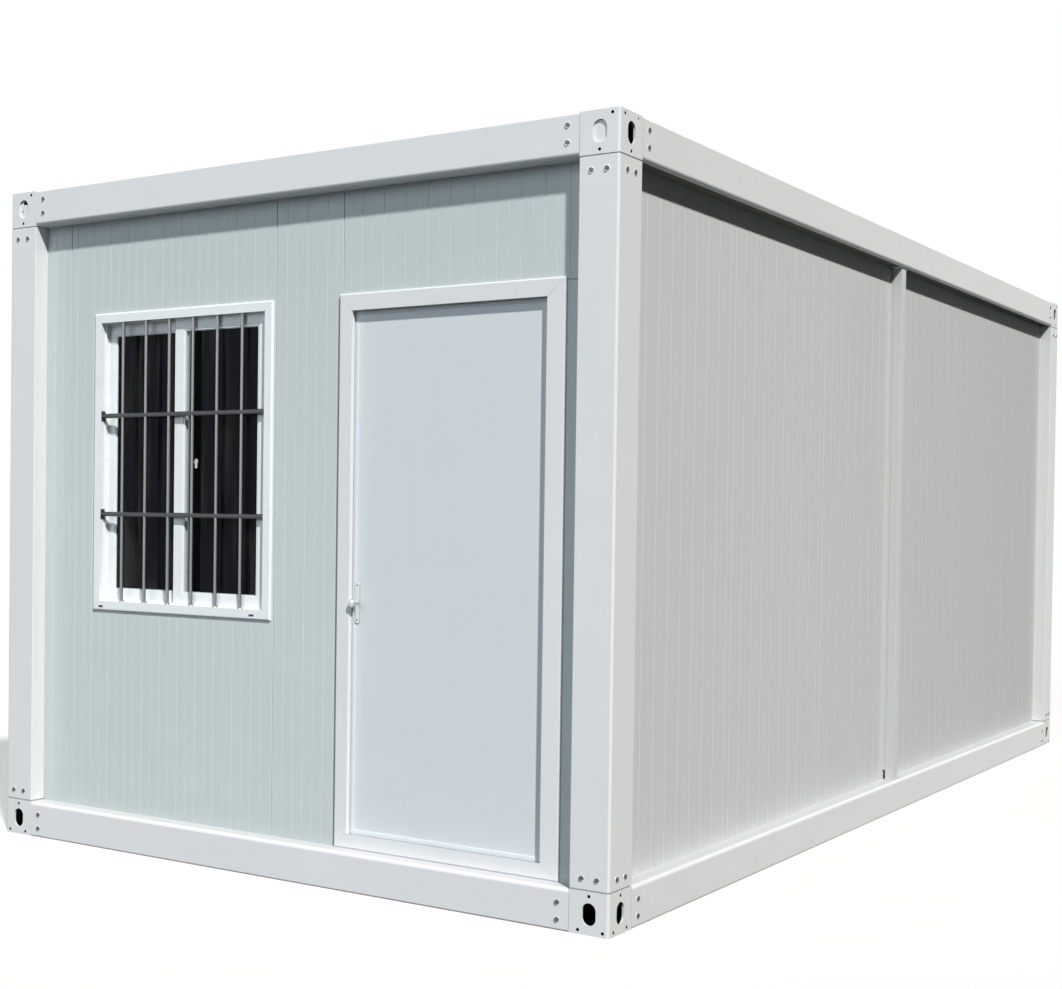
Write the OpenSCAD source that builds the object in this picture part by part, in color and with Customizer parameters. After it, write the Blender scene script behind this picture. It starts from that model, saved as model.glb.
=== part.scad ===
// Modular container house: bolted steel frame, sandwich panel walls, one door and one barred window.
// Millimetres, +Z up. The door end faces -Y, and z = 0 is the underside of the bottom corner blocks.

/* [House] */
// Length over the corner blocks, along Y
length = 5950; // [4960:10:7140]
// Width over the corner blocks, along X
width = 3000; // [2500:10:3600]
// Height over the corner blocks
height = 2800; // [2340:10:3360]

/* [Frame] */
// Height of the corner blocks and of the beams between them
rail_h = 150; // [125:1:180]
// Extra depth of a corner block and post along Y, past the beams
corner_extra = 10; // [5:1:20]
// Plate thickness of the corner blocks
block_t = 8; // [6:0.5:10]
// Sheet thickness of the beams and posts
steel_t = 3; // [2.5:0.5:4]
// Radius of the upright outer edge of blocks and posts
corner_r = 10; // [6:1:14]
// Radius of the beam edge that faces the wall
beam_r = 16; // [12:1:20]
// Return lips of the beams
beam_lip = 25; // [20:1:30]
// Width of the oval holes in the corner blocks
oval_w = 54; // [45:1:60]
// Height of the oval holes
oval_h = 78; // [64:1:90]
// Distance of an oval's middle from the outer end of its block
oval_end = 72; // [66:1:80]
// Diameter of the holes in the top and bottom of the blocks
anchor_d = 50; // [42:1:60]
// Width of a middle column, along Y
column_w = 60; // [50:1:72]
// Depth of a middle column, along X
column_d = 42; // [35:1:50]

/* [Walls] */
// Setback of the wall faces from the frame
wall_inset = 70; // [60:1:84]
// Thickness of the sandwich panels
wall_t = 75; // [62:1:90]
// Module of the panels on the long sides
side_panel_w = 970; // [800:10:1160]
// Module of the panels on the rear end
end_panel_w = 1150; // [960:10:1380]
// Gap between neighbouring panels
panel_gap = 2; // [1:0.5:3]
// How far the floor and ceiling bear on the beams
floor_bearing = 10; // [6:1:14]

/* [Floor and roof] */
// Thickness of the floor board
floor_t = 18; // [15:1:22]
// Spacing of the joists and purlins
joist_pitch = 600; // [500:10:720]
// Height of a floor joist
joist_h = 90; // [75:1:108]
// Width of a floor joist
joist_w = 50; // [42:1:60]
// Height of a roof purlin
purlin_h = 60; // [50:1:72]
// Width of a roof purlin
purlin_w = 40; // [34:1:48]
// Wall of the joists and purlins
tube_t = 2; // [1.5:0.5:3]
// Thickness of the ceiling sheet with its ribs
ceiling_t = 10; // [8:1:12]
// Height of the roof sheet's ribs
roof_rib_h = 28; // [22:1:34]
// Pitch of the roof sheet's ribs
roof_pitch = 200; // [170:5:240]
// Thickness of the roof sheet
roof_t = 3; // [2:0.5:4]

/* [Window] */
// Width over the window's trim
window_w = 985; // [820:5:1180]
// Height over the window's trim
window_h = 1258; // [1050:2:1500]
// Distance from the top of the wall to the window's trim
window_drop = 394; // [330:2:470]
// Width of the trim's face
trim_w = 40; // [33:1:48]
// How far window and door trims stand proud of the wall
trim_proud = 10; // [8:1:12]
// How far the trims lap over the panels
trim_lap = 10; // [8:1:14]
// Height of the sashes' rails
rail_w = 45; // [38:1:54]
// Width of the two stiles that meet
meet_w = 50; // [42:1:60]
// Width of the stile that shows at the left jamb
left_stile_w = 36; // [30:1:43]
// Width of the stile that shows at the right jamb
right_stile_w = 50; // [42:1:60]
// Thickness of a sash
sash_t = 20; // [17:1:24]
// Thickness of the glass
glass_t = 5; // [4:0.5:6]
// Distance of the outer meeting stile from the window's middle
meet_shift = -26; // [-31:1:-22]
// How far the inner meeting stile stands to the right of the outer one
meet_lap = 14; // [12:1:17]
// Upright bars in the grille
bar_count = 6; // [5:1:7]
// Diameter of the upright bars
bar_d = 14; // [12:0.5:16]
// Spacing of the upright bars
bar_pitch = 132; // [108:2:135]
// How far the upright bars stand off the window's middle
bar_shift = -10; // [-12:1:-8]
// Level bars in the grille, which the upright ones run through
rail_count = 2; // [1:1:3]
// Diameter of the level bars
rail_d = 20; // [17:0.5:24]
// Spacing of the level bars
rail_pitch = 416; // [346:2:500]
// How far the level bars lie off the window's middle
rail_shift = -12; // [-14:1:-10]

/* [Door] */
// Width over the door frame
door_w = 991; // [830:1:1180]
// Height of the wall over the door frame
over_door = 392; // [330:2:470]
// Wall between the door frame and the corner post
door_strip = 79; // [66:1:95]
// Jamb on the lock side
lock_jamb = 60; // [50:1:72]
// Jamb on the hinge side
hinge_jamb = 75; // [65:1:90]
// Head of the door frame
head_w = 65; // [55:1:78]
// Sill of the door frame
sill_h = 55; // [48:1:66]
// Depth from the frame's face to the leaf
reveal = 25; // [21:1:30]
// Thickness of the leaf
leaf_t = 45; // [38:1:54]
// Running gap round the leaf
door_gap = 5; // [5:0.5:7]
// Extra gap on the lock side, for the swing
swing_gap = 2; // [2:0.5:4]
// Lap of the stop over the leaf
stop_lap = 8; // [6:1:10]
// Hinge barrel radius
barrel_r = 7; // [6.5:0.5:8]
// Hinge pin radius
pin_r = 4; // [3.5:0.5:5]
// Height of a hinge
hinge_h = 100; // [84:1:120]
// Height of the knob above the sill's foot
knob_z = 936; // [800:1:1050]
// Knob radius
knob_r = 15; // [14:0.5:17]
// How far the knob stands off the leaf
knob_out = 46; // [42:1:52]
// Distance of the knob from the leaf's lock edge
backset = 32; // [31:1:38]
// Width of the lock plates
lock_plate_w = 22; // [20:1:26]
// Height of the lock plates
lock_plate_h = 156; // [130:2:187]

/* [Hidden] */
$fn = 48;

steel_white = [0.84, 0.85, 0.88];
panel_white = [0.75, 0.79, 0.80];
overcut = 1;
fit = 0.5;

// Frame
beam_d = wall_inset + wall_t + floor_bearing;
corner_w = beam_d;
corner_d = beam_d + corner_extra;
end_span = width - 2 * corner_w;
side_span = length - 2 * corner_d;
wall_z0 = rail_h;
wall_z1 = height - rail_h;
wall_h = wall_z1 - wall_z0;
cover_t = 3;
beam_low_r = 8;
column_setback = 15;

// Floor, ceiling and roof
inner_x = width / 2 - wall_inset - wall_t;
inner_y = length / 2 - wall_inset - wall_t;
edge_gap = 3;
joist_count = 2 * floor(side_span / 2 / joist_pitch) + 1;
rib_top = 0.3;
rib_foot = 0.5;

// Front wall, measured from the outer face of the frame
face_y = wall_inset - trim_proud;
back_y = wall_inset + wall_t;
door_x1 = end_span / 2 - door_strip;
door_x0 = door_x1 - door_w;
door_z1 = wall_z1 - over_door;
spare = end_span - door_strip - door_w - window_w;
left_share = 0.48;
window_x0 = -end_span / 2 + left_share * spare;
window_x1 = window_x0 + window_w;
window_z1 = wall_z1 - window_drop;
window_z0 = window_z1 - window_h;
joint_left = (window_x0 - end_span / 2) / 2;
joint_middle = window_x1 + trim_lap;

// Window
sash_gap = 0.5;
track_gap = 2;
sash_y0 = face_y + 27;
inner_sash_y0 = sash_y0 + sash_t + track_gap;
frame_back_y = max(back_y, inner_sash_y0 + sash_t) + trim_proud;
clear_x0 = window_x0 + trim_w;
clear_x1 = window_x1 - trim_w;
clear_z0 = window_z0 + trim_w;
clear_z1 = window_z1 - trim_w;
meet_x = (clear_x0 + clear_x1) / 2 + meet_shift;
inner_meet_x = meet_x + meet_lap;
left_sight_x0 = clear_x0 + sash_gap + left_stile_w;
left_sight_x1 = inner_meet_x - meet_w / 2;
right_sight_x0 = meet_x + meet_w / 2;
right_sight_x1 = clear_x1 - sash_gap - right_stile_w;
glass_seat = 8;
bar_y = face_y + 14;
latch_z = (clear_z0 + clear_z1) / 2;

// Door
stop_x0 = door_x0 + lock_jamb;
stop_x1 = door_x1 - hinge_jamb;
stop_z0 = wall_z0 + sill_h;
stop_z1 = door_z1 - head_w;
leaf_x0 = stop_x0 - stop_lap;
leaf_x1 = stop_x1 + stop_lap;
leaf_z0 = stop_z0 - stop_lap;
leaf_z1 = stop_z1 + stop_lap;
leaf_y0 = face_y + reveal;
leaf_y1 = leaf_y0 + leaf_t;
hinge_x = leaf_x1 + door_gap / 2;
hinge_y = leaf_y1 + barrel_r + 1;
hinge_count = 3;
hinge_end = 220;
plate_t = 3;
pin_play = 0.08;
knuckle_gap = 1;
plate_reach = 42;
plate_back = barrel_r + 3;
knob_x = leaf_x0 + backset;
knob_level = wall_z0 + knob_z;
neck_r = 7;
neck_room = 3;

// Frames of reference

// x = 0 on the side face and y = 0 on the end face of a corner; side and end are -1 or 1.
module at_corner(side, end) {
    mirror([side < 0 ? 1 : 0, 0, 0])
        mirror([0, end > 0 ? 1 : 0, 0])
            translate([width / 2, -length / 2, 0])
                children();
}

// y = 0 on the frame's outer face at the door end.
module at_front() {
    translate([0, -length / 2, 0])
        children();
}

// Steps from the middle of a row of like pieces to its members.
function row(count, pitch) = [for (i = [0 : count - 1]) (i - (count - 1) / 2) * pitch];

// A box from one corner to the opposite one.
module block(low, high) {
    translate(low)
        cube(high - low);
}

// Sections

// What rounding takes off a corner at the origin of a shape that lies in +x, +y.
module corner_waste(r) {
    difference() {
        translate([-overcut, -overcut])
            square(r + overcut);
        translate([r, r])
            circle(r);
    }
}

// Plan of a corner block or post, inset by a wall.
module corner_plan(inset) {
    mirror([1, 0])
        difference() {
            translate([inset, inset])
                square([corner_w - 2 * inset, corner_d - 2 * inset]);
            translate([inset, inset])
                corner_waste(corner_r - inset);
        }
}

// Beam section: x runs inward from the outer face, y up, and the round edge is on top.
module beam_outline(inset) {
    w = beam_d - 2 * inset;
    h = rail_h - 2 * inset;
    translate([inset, inset])
        difference() {
            square([w, h]);
            corner_waste(beam_low_r - inset);
            translate([0, h])
                mirror([0, 1])
                    corner_waste(beam_r - inset);
        }
}

module beam_section() {
    difference() {
        beam_outline(0);
        beam_outline(steel_t);
        translate([beam_d - steel_t - overcut, steel_t + beam_lip])
            square([steel_t + 2 * overcut, rail_h - 2 * (steel_t + beam_lip)]);
    }
}

// An upright oval in the x-y plane.
module oval() {
    for (side = [-1, 1])
        translate([0, side * (oval_h - oval_w) / 2])
            circle(d = oval_w);
    square([oval_w, oval_h - oval_w], center = true);
}

// Corner blocks and posts

// A hollow block with oval holes in its two outer faces and round holes in its top and bottom.
module corner_block(oval_z, covered) {
    inner_w = corner_w - 2 * block_t;
    end_cut = covered ? block_t : block_t + overcut;
    difference() {
        linear_extrude(rail_h)
            corner_plan(0);
        difference() {
            translate([block_t - corner_w, block_t, block_t])
                cube([inner_w, corner_d - 2 * block_t, rail_h - 2 * block_t]);
            if (covered)
                translate([-corner_w, 0, 0])
                    cube([corner_w, block_t + cover_t, rail_h]);
        }
        translate([-corner_w / 2, end_cut, oval_z])
            rotate([90, 0, 0])
                linear_extrude(end_cut + overcut)
                    oval();
        translate([-block_t - overcut, corner_d / 2, oval_z])
            rotate([90, 0, 90])
                linear_extrude(block_t + 2 * overcut)
                    oval();
        translate([-corner_w / 2, corner_d / 2, -overcut])
            cylinder(d = anchor_d, h = rail_h + 2 * overcut);
    }
}

module bottom_block(side, end) {
    color(steel_white)
        at_corner(side, end)
            corner_block(oval_end, false);
}

module top_block(side, end) {
    color(steel_white)
        at_corner(side, end)
            translate([0, 0, wall_z1])
                corner_block(rail_h - oval_end, true);
}

module post(side, end) {
    color(steel_white)
        at_corner(side, end)
            translate([0, 0, wall_z0])
                linear_extrude(wall_h)
                    difference() {
                        corner_plan(0);
                        corner_plan(steel_t);
                    }
}

// Beams

// A beam along X with its outer face on y = 0.
module end_beam() {
    translate([-end_span / 2, 0, 0])
        rotate([90, 0, 90])
            linear_extrude(end_span)
                beam_section();
}

// A beam along Y with its outer face on x = 0.
module side_beam() {
    translate([0, side_span / 2, 0])
        mirror([1, 0, 0])
            rotate([90, 0, 0])
                linear_extrude(side_span)
                    beam_section();
}

module bottom_end_beam(end) {
    color(steel_white)
        mirror([0, end > 0 ? 1 : 0, 0])
            at_front()
                end_beam();
}

module top_end_beam(end) {
    color(steel_white)
        mirror([0, end > 0 ? 1 : 0, 0])
            at_front()
                translate([0, 0, height])
                    mirror([0, 0, 1])
                        end_beam();
}

module bottom_side_beam(side) {
    color(steel_white)
        mirror([side < 0 ? 1 : 0, 0, 0])
            translate([width / 2, 0, 0])
                side_beam();
}

module top_side_beam(side) {
    color(steel_white)
        mirror([side < 0 ? 1 : 0, 0, 0])
            translate([width / 2, 0, height])
                mirror([0, 0, 1])
                    side_beam();
}

module middle_columns() {
    color(steel_white)
        for (side = [0, 1])
            mirror([side, 0, 0])
                translate([width / 2 - column_setback - column_d / 2, 0, wall_z0])
                    linear_extrude(wall_h)
                        difference() {
                            square([column_d, column_w], center = true);
                            square([column_d - 2 * steel_t, column_w - 2 * steel_t], center = true);
                        }
}

// Floor and roof

// A row of rectangular tubes across the house, with their undersides on z.
module cross_tubes(z, w, h) {
    span = width - 2 * beam_d;
    for (step = row(joist_count, joist_pitch))
        translate([0, step, z + h / 2])
            rotate([90, 0, 90])
                linear_extrude(span, center = true)
                    difference() {
                        square([w, h], center = true);
                        square([w - 2 * tube_t, h - 2 * tube_t], center = true);
                    }
}

module floor_joists() {
    color("silver")
        cross_tubes(wall_z0 - joist_h, joist_w, joist_h);
}

module roof_purlins() {
    color("silver")
        cross_tubes(wall_z1, purlin_w, purlin_h);
}

// The inside plan, notched round the corner posts.
module inside_plan() {
    notch_x = width / 2 - corner_w - edge_gap;
    notch_y = length / 2 - corner_d - edge_gap;
    difference() {
        square([2 * (inner_x - edge_gap), 2 * (inner_y - edge_gap)], center = true);
        for (side = [0, 1], end = [0, 1])
            mirror([side, 0])
                mirror([0, end])
                    translate([notch_x, notch_y])
                        square(corner_w);
    }
}

module floor_board() {
    color([0.62, 0.60, 0.56])
        translate([0, 0, wall_z0])
            linear_extrude(floor_t)
                inside_plan();
}

module ceiling_sheet() {
    color([0.90, 0.91, 0.91])
        translate([0, 0, wall_z1 - ceiling_t])
            linear_extrude(ceiling_t)
                inside_plan();
}

// Ribbed sheet over the purlins, inside the top beams.
module roof_sheet() {
    span_x = width - 2 * beam_d - 2 * edge_gap;
    span_y = length - 2 * beam_d - 2 * edge_gap;
    ribs = floor(span_y / roof_pitch);
    start = -(ribs - 1) / 2 * roof_pitch;
    top = [for (i = [0 : ribs - 1], k = [0 : 3])
        [
            start + i * roof_pitch + roof_pitch * [-rib_foot, -rib_top, rib_top, rib_foot][k] / 2,
            k == 1 || k == 2 ? roof_rib_h : roof_t
        ]];
    under = [for (i = [len(top) - 1 : -1 : 0]) [top[i][0], top[i][1] - roof_t]];
    edge = span_y / 2;
    color([0.80, 0.82, 0.84])
        translate([0, 0, wall_z1 + purlin_h])
            rotate([90, 0, 90])
                linear_extrude(span_x, center = true)
                    polygon(concat([[-edge, 0], [-edge, roof_t]], top, [[edge, roof_t], [edge, 0]], under));
}

// Walls

module panel_color() {
    color(panel_white)
        children();
}

// A panel on the door end between two places along X and two heights.
module front_panel(x0, x1, z0, z1) {
    at_front()
        block([x0, wall_inset, z0], [x1, back_y, z1]);
}

module wall_window_panel() {
    panel_color()
        difference() {
            front_panel(joint_left + panel_gap / 2, joint_middle - panel_gap / 2, wall_z0, wall_z1);
            at_front()
                block(
                    [window_x0 + trim_lap, 0, window_z0 + trim_lap],
                    [window_x1 - trim_lap, 2 * back_y, window_z1 - trim_lap]
                );
        }
}

module wall_front_strips() {
    panel_color() {
        front_panel(-end_span / 2, joint_left - panel_gap / 2, wall_z0, wall_z1);
        front_panel(joint_middle + panel_gap / 2, door_x0 + trim_lap, wall_z0, wall_z1);
        front_panel(door_x1 - trim_lap, end_span / 2, wall_z0, door_z1 - trim_lap - panel_gap);
    }
}

module wall_over_door() {
    panel_color()
        front_panel(door_x0 + trim_lap + panel_gap, end_span / 2, door_z1 - trim_lap, wall_z1);
}

module wall_rear() {
    count = ceil(end_span / end_panel_w);
    panel_color()
        for (i = [0 : count - 1])
            block(
                [-end_span / 2 + i * end_panel_w + (i > 0 ? panel_gap : 0), length / 2 - back_y, wall_z0],
                [min(-end_span / 2 + (i + 1) * end_panel_w, end_span / 2), length / 2 - wall_inset, wall_z1]
            );
}

// The first panel of a long side is trimmed, so that a joint never meets the middle column.
module side_wall(side) {
    first_trim = 20;
    count = ceil((side_span + first_trim) / side_panel_w);
    start = -side_span / 2 - first_trim;
    panel_color()
        mirror([side < 0 ? 1 : 0, 0, 0])
            for (i = [0 : count - 1])
                block(
                    [inner_x, max(start + i * side_panel_w + panel_gap, -side_span / 2), wall_z0],
                    [inner_x + wall_t, min(start + (i + 1) * side_panel_w, side_span / 2), wall_z1]
                );
}

// Window

module window_frame() {
    color("white")
        at_front()
            difference() {
                union() {
                    block([window_x0, face_y, window_z0], [window_x1, wall_inset, window_z1]);
                    block(
                        [window_x0 + trim_lap + fit, face_y, window_z0 + trim_lap + fit],
                        [window_x1 - trim_lap - fit, frame_back_y, window_z1 - trim_lap - fit]
                    );
                }
                block([clear_x0, 0, clear_z0], [clear_x1, frame_back_y + overcut, clear_z1]);
            }
}

// One sliding sash round an opening between two places along X, with its outer face on y0.
module sash(x0, x1, left_w, right_w, y0) {
    z0 = clear_z0 + sash_gap;
    z1 = clear_z1 - sash_gap;
    color("white")
        at_front()
            difference() {
                block([x0 - left_w, y0, z0], [x1 + right_w, y0 + sash_t, z1]);
                block([x0, 0, z0 + rail_w], [x1, y0 + sash_t + overcut, z1 - rail_w]);
                pane(x0, x1, y0, 0);
            }
}

// The pane of a sash, or the groove that it sits in.
module pane(x0, x1, y0, play) {
    seat = glass_seat - play;
    sight_z0 = clear_z0 + sash_gap + rail_w;
    sight_z1 = clear_z1 - sash_gap - rail_w;
    y = y0 + (sash_t - glass_t) / 2;
    block([x0 - seat, y + play, sight_z0 - seat], [x1 + seat, y + glass_t - play, sight_z1 + seat]);
}

module window_sash_left() {
    sash(left_sight_x0, left_sight_x1, left_stile_w, meet_w, inner_sash_y0);
}

module window_sash_right() {
    sash(right_sight_x0, right_sight_x1, meet_w, right_stile_w, sash_y0);
}

module window_glass() {
    color([0.10, 0.12, 0.14, 0.6])
        at_front() {
            pane(left_sight_x0, left_sight_x1, inner_sash_y0, 0.1);
            pane(right_sight_x0, right_sight_x1, sash_y0, 0.1);
        }
}

// Round steel bars between the sides, top and bottom of the window frame.
module window_grille() {
    middle_x = (clear_x0 + clear_x1) / 2 + bar_shift;
    middle_z = (clear_z0 + clear_z1) / 2 + rail_shift;
    color([0.62, 0.62, 0.63])
        at_front() {
            for (step = row(bar_count, bar_pitch))
                translate([middle_x + step, bar_y, clear_z0])
                    cylinder(d = bar_d, h = clear_z1 - clear_z0);
            for (step = row(rail_count, rail_pitch))
                translate([clear_x0, bar_y, middle_z + step])
                    rotate([0, 90, 0])
                        cylinder(d = rail_d, h = clear_x1 - clear_x0);
        }
}

// Crescent latch on the inner face of the meeting stile.
module window_latch() {
    plate_w = 22;
    plate_h = 70;
    plate_d = 8;
    hub_r = 10;
    arm = 42;
    y0 = inner_sash_y0 + sash_t;
    color([0.75, 0.76, 0.78])
        at_front() {
            block(
                [inner_meet_x - plate_w / 2, y0, latch_z - plate_h / 2],
                [inner_meet_x + plate_w / 2, y0 + plate_d, latch_z + plate_h / 2]
            );
            translate([inner_meet_x, y0 + 2 * plate_d, latch_z])
                rotate([90, 0, 0])
                    cylinder(r = hub_r, h = 2 * plate_d);
            block(
                [inner_meet_x, y0 + plate_d, latch_z - hub_r / 2],
                [inner_meet_x + arm, y0 + 2 * plate_d, latch_z + hub_r / 2]
            );
        }
}

// Door

module door_frame() {
    color(steel_white)
        at_front()
            difference() {
                union() {
                    block([door_x0, face_y, wall_z0], [door_x1, wall_inset, door_z1]);
                    block(
                        [door_x0 + trim_lap + fit, face_y, wall_z0],
                        [door_x1 - trim_lap - fit, leaf_y1, door_z1 - trim_lap - fit]
                    );
                }
                block([stop_x0, 0, stop_z0], [stop_x1, back_y, stop_z1]);
                block(
                    [leaf_x0 - door_gap - swing_gap, leaf_y0 - door_gap, leaf_z0 - door_gap],
                    [leaf_x1 + door_gap, back_y, leaf_z1 + door_gap]
                );
            }
}

// A bore along Y on the knob's axis.
module knob_bore(r) {
    translate([knob_x, 2 * back_y, knob_level])
        rotate([90, 0, 0])
            cylinder(r = r, h = 3 * back_y);
}

module door_leaf() {
    color([0.78, 0.82, 0.84])
        at_front()
            difference() {
                block([leaf_x0, leaf_y0, leaf_z0], [leaf_x1, leaf_y1, leaf_z1]);
                knob_bore(neck_r + neck_room);
            }
}

function hinge_low(i) =
    leaf_z0 + hinge_end - hinge_h / 2 + i * (leaf_z1 - leaf_z0 - 2 * hinge_end) / (hinge_count - 1);

// The jamb's half: a plate, the lower knuckle and the pin.
module hinge_jamb_plates() {
    knuckle = (hinge_h - knuckle_gap) / 2;
    plate_y = leaf_y1 - hinge_y;
    color("silver")
        at_front()
            for (i = [0 : hinge_count - 1])
                translate([hinge_x, hinge_y, hinge_low(i)]) {
                    block([plate_back, plate_y, 0], [plate_reach, plate_y + plate_t, hinge_h]);
                    block([0, plate_y, 0], [plate_reach, plate_y + plate_t, knuckle]);
                    cylinder(r = barrel_r, h = knuckle);
                    cylinder(r = pin_r, h = hinge_h);
                }
}

// The leaf's half: a plate and the upper knuckle with its bore.
module hinge_leaf_plates() {
    knuckle = (hinge_h - knuckle_gap) / 2;
    plate_y = leaf_y1 - hinge_y;
    color("silver")
        at_front()
            for (i = [0 : hinge_count - 1])
                translate([hinge_x, hinge_y, hinge_low(i)])
                    difference() {
                        union() {
                            block([-plate_reach, plate_y, 0], [-plate_back, plate_y + plate_t, hinge_h]);
                            translate([0, 0, hinge_h - knuckle]) {
                                block([-plate_reach, plate_y, 0], [0, plate_y + plate_t, knuckle]);
                                cylinder(r = barrel_r, h = knuckle);
                            }
                        }
                        cylinder(r = pin_r + pin_play, h = hinge_h + overcut);
                    }
}

module lock_plates() {
    color("silver")
        at_front()
            difference() {
                for (y = [leaf_y0 - plate_t, leaf_y1])
                    block(
                        [knob_x - lock_plate_w / 2, y, knob_level - lock_plate_h / 2],
                        [knob_x + lock_plate_w / 2, y + plate_t, knob_level + lock_plate_h / 2]
                    );
                knob_bore(neck_r + pin_play);
            }
}

// A knob on each face of the leaf, on one neck that runs through it.
module door_knob() {
    head = 26;
    edge = 5;
    profile = [
        [0, 0], [neck_r + 1, 0], [knob_r - 2, edge], [knob_r, head / 2],
        [knob_r - edge, head - 2], [knob_r - 2 * edge, head], [0, head]
    ];
    color([0.70, 0.71, 0.73])
        at_front() {
            translate([knob_x, leaf_y1 + knob_out - head / 2, knob_level])
                rotate([90, 0, 0])
                    cylinder(r = neck_r, h = leaf_t + 2 * knob_out - head);
            for (back = [0, 1])
                translate([knob_x, (leaf_y0 + leaf_y1) / 2, knob_level])
                    mirror([0, back, 0])
                        translate([0, -leaf_t / 2 - knob_out + head, 0])
                            rotate([90, 0, 0])
                                rotate_extrude()
                                    polygon(profile);
        }
}

bottom_block(-1, -1);  // block_bottom_front_left
bottom_block(1, -1);  // block_bottom_front_right
bottom_block(-1, 1);  // block_bottom_rear_left
bottom_block(1, 1);  // block_bottom_rear_right
top_block(-1, -1);  // block_top_front_left
top_block(1, -1);  // block_top_front_right
top_block(-1, 1);  // block_top_rear_left
top_block(1, 1);  // block_top_rear_right
post(-1, -1);  // post_front_left
post(1, -1);  // post_front_right
post(-1, 1);  // post_rear_left
post(1, 1);  // post_rear_right
bottom_end_beam(-1);  // beam_bottom_front
bottom_end_beam(1);  // beam_bottom_rear
bottom_side_beam(-1);  // beam_bottom_left
bottom_side_beam(1);  // beam_bottom_right
top_end_beam(-1);  // beam_top_front
top_end_beam(1);  // beam_top_rear
top_side_beam(-1);  // beam_top_left
top_side_beam(1);  // beam_top_right
middle_columns();
floor_joists();
floor_board();
roof_purlins();
roof_sheet();
ceiling_sheet();
wall_window_panel();
wall_front_strips();
wall_over_door();
wall_rear();
side_wall(-1);  // wall_left
side_wall(1);  // wall_right
window_frame();
window_sash_left();
window_sash_right();
window_glass();
window_grille();
window_latch();
door_frame();
door_leaf();
hinge_jamb_plates();
hinge_leaf_plates();
lock_plates();
door_knob();
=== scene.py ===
import math

import bmesh
import bpy
from bpy.props import FloatProperty, FloatVectorProperty, PointerProperty
from mathutils import Matrix, Vector


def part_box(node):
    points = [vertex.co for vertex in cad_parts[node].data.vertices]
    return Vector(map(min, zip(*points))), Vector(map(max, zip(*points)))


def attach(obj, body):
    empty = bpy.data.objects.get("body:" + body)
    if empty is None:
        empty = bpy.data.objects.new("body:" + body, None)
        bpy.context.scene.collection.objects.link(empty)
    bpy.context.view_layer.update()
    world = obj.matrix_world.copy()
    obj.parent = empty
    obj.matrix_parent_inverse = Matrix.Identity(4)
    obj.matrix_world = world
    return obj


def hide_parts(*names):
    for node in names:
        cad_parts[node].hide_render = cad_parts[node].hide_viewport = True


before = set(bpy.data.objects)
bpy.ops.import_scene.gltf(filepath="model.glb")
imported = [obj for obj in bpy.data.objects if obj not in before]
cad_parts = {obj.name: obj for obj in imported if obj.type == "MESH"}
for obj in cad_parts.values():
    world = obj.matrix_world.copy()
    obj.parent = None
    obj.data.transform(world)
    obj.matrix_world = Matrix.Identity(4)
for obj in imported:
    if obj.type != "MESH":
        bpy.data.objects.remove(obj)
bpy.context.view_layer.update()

bl_info = {
    "name": "Modular Container House",
    "version": (1, 0, 0),
    "blender": (4, 5, 0),
    "location": "View3D > Sidebar > Container House",
    "description": "Builds the visible pieces of a modular container house around its frame",
    "category": "Object",
}

UP = Vector((0, 0, 1))
SMALLEST = 1e-6
ROUNDED_CREASE = 50.0  # degrees from which an edge of a rounded piece looks sharp
SMALL_SCREW = 0.8  # diameter of a fitting's screw as a share of a common one's


def screen_colour(red, green, blue):
    """The linear colour of an 8-bit screen colour."""
    return tuple(
        level / 12.92 if level <= 0.04045 else ((level + 0.055) / 1.055) ** 2.4
        for level in (red / 255, green / 255, blue / 255)
    )


def length_of(name, text, default, most=1.0):
    """A length that the user can set."""
    return FloatProperty(
        name=name, description=text, default=default, min=0.0, max=most, subtype="DISTANCE", unit="LENGTH"
    )


def colour_of(name, text, *screen):
    """A colour that the user can set, given as an 8-bit screen colour."""
    linear = screen_colour(*screen)
    return FloatVectorProperty(name=name, description=text, default=linear, min=0.0, max=1.0, subtype="COLOR")


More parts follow.
